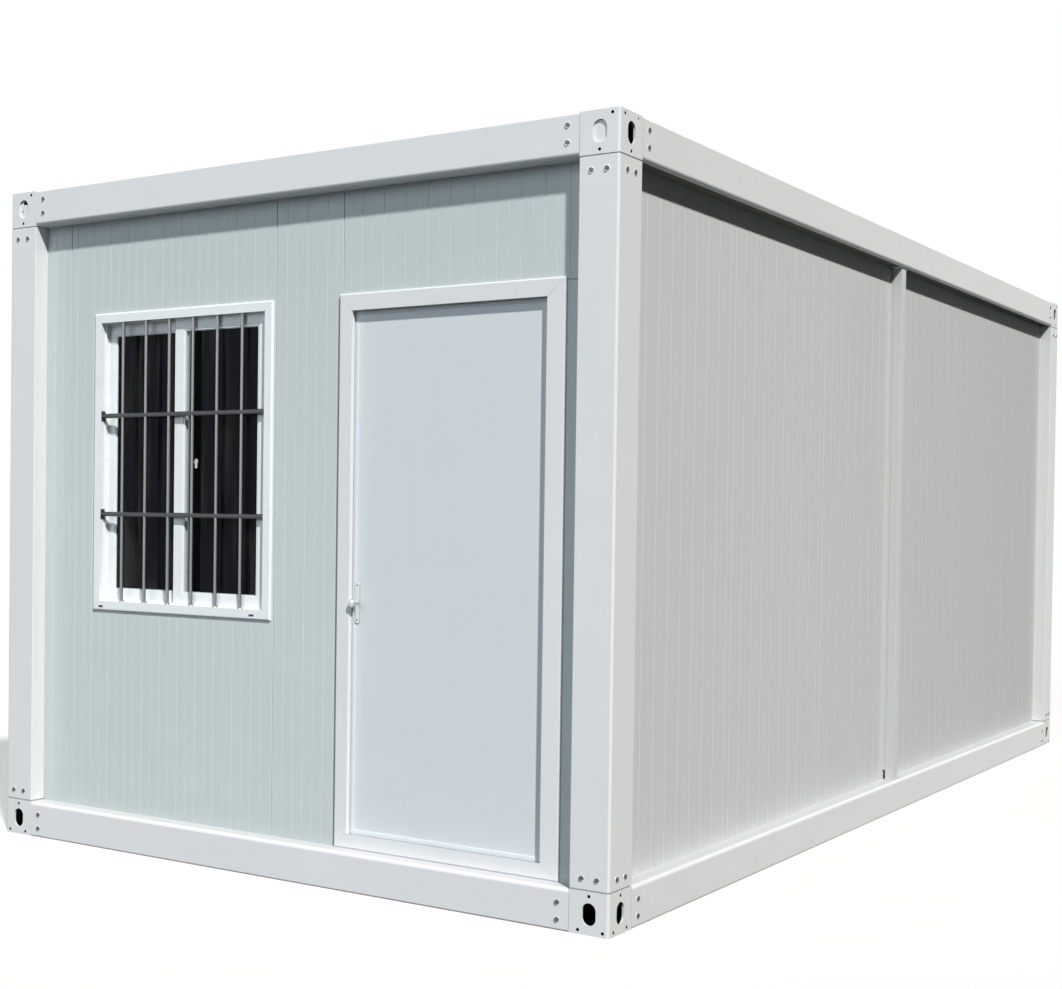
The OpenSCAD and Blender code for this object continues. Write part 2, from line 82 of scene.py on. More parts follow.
class HouseSizes(bpy.types.PropertyGroup):
    """Sizes of the details that the frame's solids leave out."""

    edge_round: length_of("Edge Rounding", "Rounding along the edges of steel pieces", 0.0015)
    corner_round: length_of("Corner Rounding", "Radius of the outer upright corner of posts", 0.010)
    post_seam: length_of("Post Seam", "Open seam between a post and its corner blocks", 0.005)
    beam_seam: length_of("Beam Seam", "Open seam between a beam and its corner blocks", 0.001)
    steel_t: length_of("Steel Thickness", "Sheet thickness of the folded beams", 0.003)
    beam_lip: length_of("Beam Lip", "Height of the beams' return lips", 0.028)
    beam_round: length_of("Beam Rounding", "Radius of the beam edge beside the wall", 0.016)
    block_t: length_of("Block Plate", "Plate thickness of the corner blocks", 0.008)
    oval_w: length_of("Oval Width", "Width of the oval holes in the corner blocks", 0.054)
    oval_h: length_of("Oval Height", "Height of the oval holes in the corner blocks", 0.078)
    oval_end: length_of("Oval Place", "Distance of an oval's middle from the outer end of its block", 0.072)
    cover_depth: length_of("Cover Depth", "Depth of the plates that close the top blocks' end holes", 0.007)
    weld_hole: length_of("Block Hole", "Diameter of the small holes in the corner blocks", 0.012)
    bolt_across: length_of("Bolt Head", "Width across the flats of a frame bolt", 0.0155)
    bolt_h: length_of("Bolt Height", "Height of a frame bolt's head", 0.0038)
    washer_d: length_of("Washer", "Diameter of a frame bolt's washer", 0.022)
    rib_pitch: length_of("Rib Pitch", "Spacing of the grooves in the end walls", 0.100)
    rib_w: length_of("Rib Width", "Width of a groove in the end walls", 0.0034)
    rib_depth: length_of("Rib Depth", "Depth of a groove in the end walls", 0.0016)
    side_rib_pitch: length_of("Side Rib Pitch", "Spacing of the grooves in the long walls", 0.0515)
    side_rib_depth: length_of("Side Rib Depth", "Depth of a groove in the long walls", 0.0011)
    joint_round: length_of("Joint Chamfer", "Chamfer along the edges of a wall panel", 0.0015)
    roof_pitch: length_of("Roof Pitch", "Spacing of the roof sheet's ribs", 0.200)
    roof_t: length_of("Roof Sheet", "Thickness of the roof sheet", 0.0012)
    border_w: length_of("Door Border", "Width of the door leaf's raised border", 0.0205)
    border_step: length_of("Border Step", "Height of the door leaf's raised border", 0.0018)
    seal_w: length_of("Seal", "Width of the rubber seals", 0.005)
    bead_w: length_of("Glazing Bead", "Width of the beads that hold the panes", 0.007)
    screw_d: length_of("Screw", "Diameter of a small screw's head", 0.009)
    knob_d: length_of("Knob", "Diameter of the door knob", 0.030)
    neck_d: length_of("Knob Neck", "Diameter of the neck between the knobs", 0.014)
    trim_round: length_of("Trim Rounding", "Rounding along the rims of the door and window trims", 0.007)
    ground: length_of("Ground", "Half width of the ground", 40.0, 200.0)


class HouseColours(bpy.types.PropertyGroup):
    """Colours of the finishes."""

    steel_white: colour_of("Frame Paint", "Paint on posts, beams and corner blocks", 222, 224, 226)
    panel_white: colour_of("Panel Paint", "Coating of the wall panels", 198, 208, 208)
    side_white: colour_of("Long Wall Paint", "Coating of the long walls", 203, 208, 208)
    leaf_white: colour_of("Door Paint", "Coating of the door leaf", 210, 217, 221)
    roof_white: colour_of("Roof Paint", "Coating of the roof sheet", 201, 204, 206)
    ceiling_white: colour_of("Ceiling Paint", "Coating of the ceiling sheet", 240, 241, 241)
    inner_white: colour_of("Inner Paint", "Coating inside the room", 216, 218, 217)
    window_white: colour_of("Window Plastic", "Plastic of the window", 234, 239, 241)
    dust: colour_of("Dust", "Dust near the ground and on ledges", 168, 160, 146)
    # Painted shade: near black for the dark inside of the hollow corner blocks and of their holes.
    primer: colour_of("Primer", "Primer inside the corner blocks", 24, 25, 27)
    # Painted shade: the dark tone under the long roof beams stands for the shadow beneath them.
    underside: colour_of("Beam Primer", "Primer under the long roof beams", 84, 82, 81)
    # Partly painted shade: the grey strips beside the meeting stile stand for the stile in shade behind the
    # glass.
    gasket: colour_of("Gasket", "Glazing gaskets and interlock strip of the window", 184, 191, 188)
    # Painted shadow: the grey bead stands for the jamb's shadow on the wall beside the door frame.
    sealant: colour_of("Sealant", "Bead between the door frame and the wall", 118, 124, 125)
    zinc: colour_of("Zinc", "Galvanised joists and purlins", 190, 193, 196)
    board: colour_of("Floor Covering", "Top of the floor board", 176, 170, 160)
    rubber: colour_of("Rubber", "Seals of the window", 26, 26, 27)
    door_seal: colour_of("Door Seal", "Seal between the door leaf and its stop", 158, 162, 163)
    bright_steel: colour_of("Bright Steel", "Knob, plates and hinges", 212, 214, 216)
    bar_steel: colour_of("Bar Steel", "Upright bars of the grille", 138, 139, 140)
    # Painted shade: the level bars are a darker copy of the grille's steel.
    dull_steel: colour_of("Dull Steel", "Level bars of the grille", 80, 82, 84)
    bolt_steel: colour_of("Bolt Steel", "Frame bolts", 92, 94, 97)
    # Painted shade: the glass's dark film stands for the dark room behind the window.
    glass_shade_tint: colour_of("Glass Tint", "Colour of the film on the window glass", 8, 12, 22)
    ground: colour_of("Ground", "Studio floor", 243, 243, 242)


# Bmesh work


def solids(node):
    """The lowest and highest corners of each separate solid of a CAD node."""
    bm = merged_copy(node)
    left = set(bm.verts)
    boxes = []
    while left:
        reached = [left.pop()]
        for vert in reached:
            for edge in vert.link_edges:
                far = edge.other_vert(vert)
                if far in left:
                    left.remove(far)
                    reached.append(far)
        low = Vector([min(v.co[i] for v in reached) for i in range(3)])
        high = Vector([max(v.co[i] for v in reached) for i in range(3)])
        boxes.append((low, high))
    bm.free()
    return sorted(boxes, key=lambda box: tuple(round(n, 4) for n in box[0]))


def merged_copy(node):
    """A bmesh of a CAD node's solid with its triangles joined into whole faces."""
    bm = bmesh.new()
    bm.from_mesh(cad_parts[node].data)
    bmesh.ops.remove_doubles(bm, verts=bm.verts, dist=SMALLEST)
    bmesh.ops.dissolve_limit(
        bm, angle_limit=math.radians(0.5), use_dissolve_boundaries=False,
        verts=bm.verts, edges=bm.edges, delimit=set(),
    )
    for face in bm.faces:
        face.material_index = 0
    return bm


def add_slab(bm, corner, far, worn=0):
    """A rectangular block between two opposite corners, in either order."""
    corner, far = Vector(corner), Vector(far)
    reach = [abs(length) for length in far - corner]
    place = Matrix.Translation((corner + far) / 2) @ Matrix.Diagonal((*reach, 1.0))
    made = bmesh.ops.create_cube(bm, size=1.0, matrix=place)["verts"]
    wear(made, worn)
    return made


def wear(verts, worn):
    """Gives the faces between some vertices the piece's material of that number."""
    if worn:
        for face in {face for vert in verts for face in vert.link_faces}:
            face.material_index = worn


def seat(point, outward):
    """The place of something that stands on a face: its own z runs along outward."""
    return Matrix.Translation(point) @ Vector(outward).to_track_quat("Z", "Y").to_matrix().to_4x4()


def add_rod(bm, foot, head, radius, sides=24, tip=None, worn=0):
    """A round bar between two points, tapered if it has a tip radius."""
    foot, head = Vector(foot), Vector(head)
    made = bmesh.ops.create_cone(
        bm, cap_ends=True, cap_tris=False, segments=sides, radius1=radius,
        radius2=radius if tip is None else tip, depth=(head - foot).length,
        matrix=seat((foot + head) / 2, head - foot),
    )["verts"]
    wear(made, worn)
    return made


def push(bm, extrude, run, **parts):
    """Extrudes parts of a shape along run and returns the new vertices."""
    made = extrude(bm, **parts)["geom"]
    far = [part for part in made if isinstance(part, bmesh.types.BMVert)]
    bmesh.ops.translate(bm, vec=run, verts=far)
    return far


def add_prism(bm, outline, run, worn=0):
    """A closed outline pushed along run."""
    rim = [bm.verts.new(point) for point in outline]
    face = bm.faces.new(rim)
    made = rim + push(bm, bmesh.ops.extrude_face_region, run, geom=[face])
    wear(made, worn)
    return made


def add_strip(bm, section, run):
    """An open section pushed along run makes a folded sheet without thickness."""
    line = [bm.verts.new(point) for point in section]
    edges = [bm.edges.new(pair) for pair in zip(line, line[1:])]
    push(bm, bmesh.ops.extrude_edge_only, run, edges=edges)


def add_ring(bm, low, high, width, worn=0):
    """Four bars round an upright opening that faces along Y. Low and high are its outer corners."""
    (x0, y0, z0), (x1, y1, z1) = low, high
    add_slab(bm, (x0, y0, z0), (x1, y1, z0 + width), worn)
    add_slab(bm, (x0, y0, z1 - width), (x1, y1, z1), worn)
    add_slab(bm, (x0, y0, z0 + width), (x0 + width, y1, z1 - width), worn)
    add_slab(bm, (x1 - width, y0, z0 + width), (x1, y1, z1 - width), worn)


def add_turned(bm, profile, point, axis, steps=40, worn=0):
    """A profile of (radius, height) pairs turned round an axis through a point."""
    place = seat(point, axis)
    line = [bm.verts.new(place @ Vector((radius, 0, height))) for radius, height in profile]
    edges = [bm.edges.new(pair) for pair in zip(line, line[1:])]
    before = set(bm.verts) - set(line)
    bmesh.ops.spin(
        bm, geom=line + edges, cent=point, axis=Vector(axis).normalized(),
        angle=math.tau, steps=steps, use_merge=True, use_duplicate=False,
    )
    made = [vert for vert in bm.verts if vert not in before]
    bmesh.ops.remove_doubles(bm, verts=made, dist=SMALLEST)
    made = [vert for vert in bm.verts if vert not in before]
    wear(made, worn)
    return made


def add_screw(bm, point, outward, diameter, worn=0):
    """A low domed screw head with a dished middle."""
    radius = diameter / 2
    dome = ((0, 0.30), (0.30, 0.44), (0.72, 0.32), (1.0, 0.0), (1.0, -0.2), (0, -0.2))
    add_turned(bm, [(radius * across, radius * up) for across, up in dome], point, outward, 12, worn)


def round_edges(bm, edges, radius, steps):
    """Rounds some edges of a shape."""
    bmesh.ops.bevel(
        bm, geom=edges, offset=radius, offset_type="OFFSET", segments=steps,
        profile=0.5, affect="EDGES", material=-1, clamp_overlap=True,
    )


def edges_along(verts, axis):
    """The edges of a shape that run along one axis."""
    found = set()
    for vert in verts:
        for edge in vert.link_edges:
            run = edge.verts[0].co - edge.verts[1].co
            if all(abs(run[i]) < SMALLEST for i in range(3) if i != axis):
                found.add(edge)
    return list(found)


def edges_at(verts, axis, **place):
    """The edges along one axis at a place, such as x=1 and y=2, in the other two."""
    return [
        edge for edge in edges_along(verts, axis)
        if all(abs(getattr(edge.verts[0].co, name) - value) < SMALLEST for name, value in place.items())
    ]


def dressed(piece, *layers):
    """Puts modifiers on a piece, each a kind and its settings, and makes their result its mesh."""
    for kind, settings in layers:
        layer = piece.modifiers.new(kind, kind)
        for name, value in settings.items():
            setattr(layer, name, value)
    bpy.context.view_layer.update()
    shown = piece.evaluated_get(bpy.context.evaluated_depsgraph_get())
    done = bpy.data.meshes.new_from_object(shown)
    rough = piece.data
    piece.modifiers.clear()
    piece.data = done
    done.name = piece.name
    bpy.data.meshes.remove(rough)


def object_of(name, bm):
    """A linked object with the faces of a bmesh, which is used up."""
    mesh = bpy.data.meshes.new(name)
    bm.to_mesh(mesh)
    bm.free()
    made = bpy.data.objects.new(name, mesh)
    bpy.context.scene.collection.objects.link(made)
    return made


def put_piece(
    name, bm, finishes, replaced=(), body="house",
    carved=None, sheet_t=0.0, edge=0.0, steps=2, crease=35.0, closed=True,
):
    """Makes a piece of a bmesh: carves it, gives it thickness and rounded edges, and ties it to the frame."""
    if closed:
        bmesh.ops.recalc_face_normals(bm, faces=bm.faces)
    piece = object_of(name, bm)
    for finish in finishes:
        piece.data.materials.append(finish_named(finish))
    if carved is not None:
        bmesh.ops.recalc_face_normals(carved, faces=carved.faces)
        waste = object_of(name + "_waste", carved)
        dressed(piece, ("BOOLEAN", dict(operation="DIFFERENCE", solver="EXACT", use_self=True, object=waste)))
        rough = waste.data
        bpy.data.objects.remove(waste)
        bpy.data.meshes.remove(rough)
    piece.data.polygons.foreach_set("use_smooth", [True] * len(piece.data.polygons))
    piece.data.set_sharp_from_angle(angle=math.radians(ROUNDED_CREASE if edge else crease))
    layers = []
    if sheet_t:
        layers.append(("SOLIDIFY", dict(thickness=sheet_t, offset=-1.0, use_even_offset=True)))
    if edge:
        limit = dict(limit_method="ANGLE", angle_limit=math.radians(crease), use_clamp_overlap=True)
        layers.append(("BEVEL", dict(width=edge, segments=steps, **limit)))
    layers.append(("WEIGHTED_NORMAL", dict(keep_sharp=True, weight=60)))
    dressed(piece, *layers)
    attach(piece, body)
    if replaced:
        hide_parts(*replaced)


# Light

# Each lamp: its name, the way to it, its strength, its spread in degrees and its colour.
LAMPS = (
    ("key", (0.567, -0.424, 0.707), 4.35, 3.0, (1.0, 0.98, 0.945)),
    ("front_fill", (-0.25, -0.88, 0.40), 1.1, 45.0, (0.80, 0.90, 1.0)),
    ("rear_fill", (-0.66, 0.74, 0.13), 2.2, 60.0, (1.0, 0.99, 0.97)),
)
FILL_STRENGTH = 0.05
FILL_COLOUR = (0.90, 0.95, 1.0)
FLOOR_GLOW = 0.5  # share of the floor's look that shadows don't darken
GROUND_BOUNCE = 0.06  # share of its paleness with which the floor lights the house


# Finishes

# Painted shade: faces that look up are darkened, as the key light strikes them hardest.
UPWARD_PAINTED_SHADE = 0.80  # brightness of paint on faces that look up
ORANGE_PEEL = 0.00002
PLANK_W = 0.18
# The clear margin of the dark film on the window glass, which is painted shade for the dark room: its reach
# to both sides of the right pane's edge.
CLEAR_LEFT = 0.009
CLEAR_RIGHT = 0.089
CLEAR_FADE = 0.003


class Wire:
    """A node's output that takes part in sums."""

    def __init__(self, recipe, socket):
        self.recipe = recipe
        self.socket = socket

    def sum_with(self, operation, left, right):
        return self.recipe.node("ShaderNodeMath", {"operation": operation}, {0: left, 1: right})

    def __add__(self, other):
        return self.sum_with("ADD", self, other)

    def __sub__(self, other):
        return self.sum_with("SUBTRACT", self, other)

    def __mul__(self, other):
        return self.sum_with("MULTIPLY", self, other)

    def __truediv__(self, other):
        return self.sum_with("DIVIDE", self, other)

    def __pow__(self, other):
        return self.sum_with("POWER", self, other)

    def __rsub__(self, other):
        return self.sum_with("SUBTRACT", other, self)

    __radd__ = __add__
    __rmul__ = __mul__


class Recipe:
    """The nodes of one finish."""

    def __init__(self, name, world=False):
        self.owner = (bpy.data.worlds if world else bpy.data.materials).new(name)
        self.owner.use_nodes = True
        self.tree = self.owner.node_tree
        self.tree.nodes.clear()
        self.ending = "ShaderNodeOutputWorld" if world else "ShaderNodeOutputMaterial"
        self.coordinates = None

    @property
    def place(self):
        """Where a point lies on its piece, in the house's own frame."""
        if self.coordinates is None:
            self.coordinates = self.node("ShaderNodeTexCoord", output="Object")
        return self.coordinates

    def node(self, kind, settings=None, inputs=None, output=0):
        """Adds any node: its settings first, then the values or wires of its sockets."""
        made = self.tree.nodes.new(kind)
        for name, value in (settings or {}).items():
            setattr(made, name, value)
        for key, value in (inputs or {}).items():
            if isinstance(value, Wire):
                self.tree.links.new(value.socket, made.inputs[key])
            else:
                made.inputs[key].default_value = value
        return Wire(self, made.outputs[output])

    def stretched(self, x, y, z):
        """The place with its axes scaled, for noise that is longer one way."""
        return self.node("ShaderNodeMapping", None, {"Vector": self.place, "Scale": (x, y, z)})

    def cloud(self, scale, detail=2.0, place=None, roughness=0.5):
        """Smooth noise from 0 to 1, with features about 1 / scale metres wide."""
        inputs = {"Vector": place or self.place, "Scale": scale, "Detail": detail, "Roughness": roughness}
        return self.node("ShaderNodeTexNoise", None, inputs)

    def part_of(self, wire, low, high):
        """Where a wire lies between low and high, as a share from 0 to 1."""
        inputs = {"Value": wire, "From Min": low, "From Max": high}
        return self.node("ShaderNodeMapRange", {"clamp": True}, inputs)

    def along(self, axis):
        """The place along the width, length or height of the house, in metres."""
        return self.node("ShaderNodeSeparateXYZ", None, {0: self.place}, axis)

    def blend(self, share, first, second):
        """Mixes two colours."""
        first, second = (part if isinstance(part, Wire) else (*part, 1.0) for part in (first, second))
        settings = {"data_type": "RGBA", "blend_type": "MIX", "clamp_result": True}
        return self.node("ShaderNodeMix", settings, {0: share, 6: first, 7: second}, 2)

    def bumps(self, height, depth, normal=None):
        """A normal bent by a height, in metres at its full depth."""
        inputs = {"Height": height, "Distance": depth, "Strength": 1.0}
        if normal is not None:
            inputs["Normal"] = normal
        return self.node("ShaderNodeBump", None, inputs)

    def finish(self, **inputs):
        """Closes the recipe with one surface. Names use _ where the socket has a space."""
        values = {name.replace("_", " "): value for name, value in inputs.items()}
        return self.close(self.node("ShaderNodeBsdfPrincipled", None, values))

    def close(self, shade):
        """Makes a shader the surface of the recipe's material or world."""
        out = self.tree.nodes.new(self.ending)
        self.tree.links.new(shade.socket, out.inputs["Surface"])
        return self.owner

    def seen_clear(self):
        """1 for what is seen directly, in a reflection or through glass, 0 for the light thrown on things."""
        path = "ShaderNodeLightPath"
        rays = self.node(path, output="Is Camera Ray") + self.node(path, output="Is Glossy Ray")
        rays = rays + self.node(path, output="Is Transmission Ray")
        return self.node("ShaderNodeMath", {"operation": "MINIMUM"}, {0: rays, 1: 1.0})


def shade_of(colour, amount):
    """A colour with its brightness changed, no channel above 1."""
    return tuple(min(level * amount, 1.0) for level in colour)


FINISHES = {}


def finish_named(name):
    """A finish by its name, made the first time that it is asked for."""
    if name not in FINISHES:
        colours = bpy.context.scene.house_colours
        make, colour, settings = RECIPES[name]
        FINISHES[name] = make(Recipe(name), getattr(colours, colour), colours.dust, **settings)
    return FINISHES[name]


def coated(
    r, colour, dust, roughness, pale=1.0, canning=0.0, splash=0.10, grime=0.22, sheen=0.22,
    fade=1.0, foot=1.0, crown=1.0,
):
    """Paint on steel: slow tone changes, thin dust that gathers low down, and orange peel.

    Pale is the brightness of the whole coat, and fade, foot and crown that at its far end,
    low down and high up. The darker far end and foot, and the darker faces that look up, are
    painted shade.
    """
    colour = shade_of(colour, pale)
    broad = r.cloud(1.3, 3.0)
    smudge = r.cloud(7.0, 5.0, roughness=0.62)
    runs = r.cloud(9.0, 3.0, r.stretched(3.0, 3.0, 0.22))
    low_down = r.part_of(r.along(2), 0.95, 0.0)
    tone = r.blend(broad, shade_of(colour, 0.975), shade_of(colour, 1.02))
    # Painted shade: the coat grows darker towards the rear end of the long walls.
    if fade != 1.0:
        tone = r.blend(r.part_of(r.along(1), -1.2, 2.8), tone, shade_of(colour, fade))
    # Painted shade: the wall is darkened towards its foot, against the light that the ledge throws up on it.
    if foot != 1.0:
        near_foot_shade = r.part_of(r.along(2), 0.33, 0.15)
        tone = r.blend(near_foot_shade * near_foot_shade, tone, shade_of(colour, foot))
        tone = r.blend(r.part_of(r.along(2), 1.5, 2.5), tone, shade_of(colour, crown))
    # Painted shade: faces that look up are darkened against the key light that falls on them.
    facing = r.node("ShaderNodeNewGeometry", output="Normal")
    painted_shade_up = r.part_of(r.node("ShaderNodeSeparateXYZ", None, {0: facing}, 2), 0.80, 0.97)
    tone = r.blend(painted_shade_up, tone, shade_of(colour, UPWARD_PAINTED_SHADE))
    film = r.part_of(smudge * 0.6 + runs * 0.4, 0.47, 0.75) * grime * 0.22
    splashed = r.part_of(smudge, 0.38, 0.72) * low_down ** 2.0 * splash
    dusty = r.blend(film + splashed, tone, dust)
    matt = film * 0.4 + splashed * 0.35 + smudge * 0.10 + (roughness - 0.05)
    bend = r.bumps(r.cloud(420.0, 2.0), ORANGE_PEEL)
    if canning:
        bend = r.bumps(r.cloud(2.1, 1.0), canning, bend)
    return r.finish(
        Base_Color=dusty, Roughness=matt, Metallic=0.0, Normal=bend, IOR=1.5, Specular_IOR_Level=sheen
    )


def roof_coat(r, colour, dust):
    """Coated sheet with dust that rain has left in the valleys between the ribs."""
    stains = r.cloud(5.0, 6.0, roughness=0.65)
    long_runs = r.cloud(6.0, 3.0, r.stretched(0.3, 2.5, 1.0))
    valley = r.part_of(r.along(2), 2.738, 2.712)
    base = r.blend(r.cloud(1.1, 2.0), shade_of(colour, 0.96), colour)
    settled = r.part_of(stains * 0.5 + long_runs * 0.5, 0.40, 0.66) * (valley * 0.34 + 0.10)
    bend = r.bumps(r.cloud(3.0, 1.0), 0.0012, r.bumps(r.cloud(400.0, 2.0), ORANGE_PEEL))
    return r.finish(
        Base_Color=r.blend(settled, base, dust), Roughness=settled * 0.3 + 0.62,
        Metallic=0.0, Normal=bend, Specular_IOR_Level=0.1,
    )


def dark_primer(r, colour, dust):
    """Rough near-black coat inside the hollow blocks: painted shade for their dark inside and the dark walls
    of their holes.
    """
    mottle = r.cloud(34.0, 5.0, roughness=0.65)
    return r.finish(
        Base_Color=r.blend(mottle, colour, shade_of(colour, 1.8)), Roughness=mottle * 0.2 + 0.7,
        Metallic=0.0, Specular_IOR_Level=0.1, Normal=r.bumps(mottle, 0.0003),
    )


def beam_primer(r, colour, dust):
    """Dark coat under the long roof beams, painted shade for the shadow beneath them; darker to the rear,
    painted shade too.
    """
    mottle = r.cloud(9.0, 6.0, roughness=0.65)
    mottled = r.blend(mottle, colour, shade_of(colour, 1.5))
    return r.finish(
        Base_Color=r.blend(r.part_of(r.along(1), -1.0, 2.0), mottled, shade_of(colour, 0.15)),
        Roughness=mottle * 0.2 + 0.6,
        Metallic=0.0, Specular_IOR_Level=0.15, Normal=r.bumps(mottle, 0.0001),
    )


def galvanised(r, colour, dust):
    """Zinc spangle: crystals of slightly different brightness and sheen."""
    crystal = r.node("ShaderNodeTexVoronoi", {"feature": "F1"}, {"Vector": r.place, "Scale": 75.0}, "Color")
    sparkle = r.node("ShaderNodeSeparateColor", None, {0: crystal}, 0)
    small = r.node("ShaderNodeTexVoronoi", {"feature": "F1"}, {"Vector": r.place, "Scale": 210.0}, "Color")
    glint = r.node("ShaderNodeSeparateColor", None, {0: small}, 1)
    mixed = sparkle * 0.65 + glint * 0.35
    white_rust = r.part_of(r.cloud(14.0, 5.0, roughness=0.65), 0.58, 0.78) * 0.4
    zinc = r.blend(mixed, shade_of(colour, 0.72), shade_of(colour, 1.12))
    return r.finish(
        Base_Color=r.blend(white_rust, zinc, shade_of(colour, 1.25)), Metallic=0.9 - white_rust,
        Roughness=mixed * 0.22 + 0.30 + white_rust * 0.4, Normal=r.bumps(mixed, 0.00002),
    )


def floor_covering(r, colour, dust):
    """Printed sheet covering laid over the boards: pale wood planks with a fine grain."""
    across = r.along(0) / PLANK_W
    row = r.node("ShaderNodeMath", {"operation": "FLOOR"}, {0: across})
    tone = r.node("ShaderNodeTexWhiteNoise", {"noise_dimensions": "1D"}, {"W": row})
    grain = r.cloud(30.0, 6.0, r.stretched(4.0, 0.35, 1.0), 0.6)
    fine = r.cloud(160.0, 3.0, r.stretched(5.0, 0.25, 1.0))
    edge = r.node("ShaderNodeMath", {"operation": "PINGPONG"}, {0: across, 1: 0.5})
    groove = r.part_of(edge, 0.012, 0.0)
    wood = r.blend(grain * 0.6 + fine * 0.25 + tone * 0.25, shade_of(colour, 0.70), shade_of(colour, 1.22))
    return r.finish(
        Base_Color=r.blend(groove * 0.7, wood, shade_of(colour, 0.32)), Roughness=grain * 0.18 + 0.42,
        Metallic=0.0, Normal=r.bumps(fine * 0.3 - groove, 0.0004),
    )


def board_underside(r, colour, dust):
    """Bare cement board seen from below."""
    mottle = r.cloud(9.0, 6.0, roughness=0.7)
    fibres = r.cloud(130.0, 4.0, r.stretched(1.0, 0.3, 1.0))
    mixed = r.blend(mottle * 0.6 + fibres * 0.4, shade_of(colour, 0.60), shade_of(colour, 1.02))
    bend = r.bumps(fibres, 0.0005)
    return r.finish(Base_Color=mixed, Roughness=fibres * 0.2 + 0.75, Metallic=0.0, Normal=bend)


def window_plastic(r, colour, dust):
    """Extruded white plastic with faint lengthwise waviness and dust in its corners."""
    wave = r.cloud(5.0, 2.0)
    film = r.part_of(r.cloud(16.0, 5.0, roughness=0.6), 0.5, 0.8) * 0.16
    base = r.blend(wave, shade_of(colour, 0.97), colour)
    return r.finish(
        Base_Color=r.blend(film, base, dust), Roughness=film + 0.24 + wave * 0.06, Metallic=0.0,
        Normal=r.bumps(r.cloud(55.0, 1.0), 0.00003), Specular_IOR_Level=0.5,
    )


def window_glass(r, colour, dust):
    """Glass under a dark film, painted shade for the dark room behind it, that stops short of the meeting
    stile, where it is clear.
    """
    outer_pane = max(solids("window_glass"), key=lambda box: box[0].x)[0]
    edge = outer_pane.x + GLASS_SEAT
    left, right = edge - CLEAR_LEFT, edge + CLEAR_RIGHT
    bare = r.part_of(r.along(0), right + CLEAR_FADE, right) * r.part_of(r.along(0), left - CLEAR_FADE, left)
    streaks = r.cloud(26.0, 3.0, r.stretched(1.0, 1.0, 0.10))
    film = r.part_of(streaks, 0.5, 0.75)
    return r.finish(
        Base_Color=r.blend(film * 0.18, colour, shade_of(dust, 0.4)),
        Alpha=(film * 0.05 + 0.57) * (1.0 - bare * 0.9),
        Roughness=film * 0.05 + 0.02, Metallic=0.0, Specular_IOR_Level=0.12,
    )


def steel(r, colour, dust, roughness, stretch=(1.0, 1.0, 1.0), dirt=0.25, metallic=1.0):
    """Drawn or brushed steel with fine lines and a little grime."""
    lines = r.cloud(260.0, 4.0, r.stretched(*stretch), 0.6)
    grime = r.part_of(r.cloud(28.0, 5.0, roughness=0.65), 0.48, 0.78) * dirt
    tone = r.blend(lines, shade_of(colour, 0.86), shade_of(colour, 1.08))
    return r.finish(
        Base_Color=r.blend(grime, tone, shade_of(colour, 0.35)), Metallic=metallic,
        Roughness=lines * 0.16 + grime * 0.5 + (roughness - 0.08), Normal=r.bumps(lines, 0.00002),
    )


def seal_rubber(r, colour, dust):
    """Matt seal rubber with pale dust."""
    bloom = r.part_of(r.cloud(45.0, 5.0, roughness=0.6), 0.5, 0.8) * 0.3
    return r.finish(
        Base_Color=r.blend(bloom, colour, shade_of(dust, 0.5)), Roughness=bloom * 0.3 + 0.62,
        Metallic=0.0, Normal=r.bumps(r.cloud(350.0, 2.0), 0.0001),
    )


def ground(r, colour, dust):
    """The studio floor: pale to the eye and in reflections, darker for the light that it throws back."""
    shaded = r.node("ShaderNodeBsdfDiffuse", None, {"Color": (*colour, 1.0), "Roughness": 0.0})
    glow = r.node("ShaderNodeEmission", None, {"Color": (*colour, 1.0), "Strength": 1.0})
    pale = r.node("ShaderNodeMixShader", None, {0: FLOOR_GLOW, 1: shaded, 2: glow})
    dim = (*shade_of(colour, GROUND_BOUNCE), 1.0)
    dull = r.node("ShaderNodeBsdfDiffuse", None, {"Color": dim, "Roughness": 1.0})
    return r.close(r.node("ShaderNodeMixShader", None, {0: r.seen_clear(), 1: dull, 2: pale}))


def studio_world():
    """White to the eye and in reflections, with a weaker pale blue fill for the light that it throws."""
    r = Recipe("studio", world=True)
    fill = r.node("ShaderNodeBackground", None, {"Color": (*FILL_COLOUR, 1.0), "Strength": FILL_STRENGTH})
    white = r.node("ShaderNodeBackground", None, {"Color": (1.0, 1.0, 1.0, 1.0), "Strength": 1.0})
    return r.close(r.node("ShaderNodeMixShader", None, {0: r.seen_clear(), 1: fill, 2: white}))


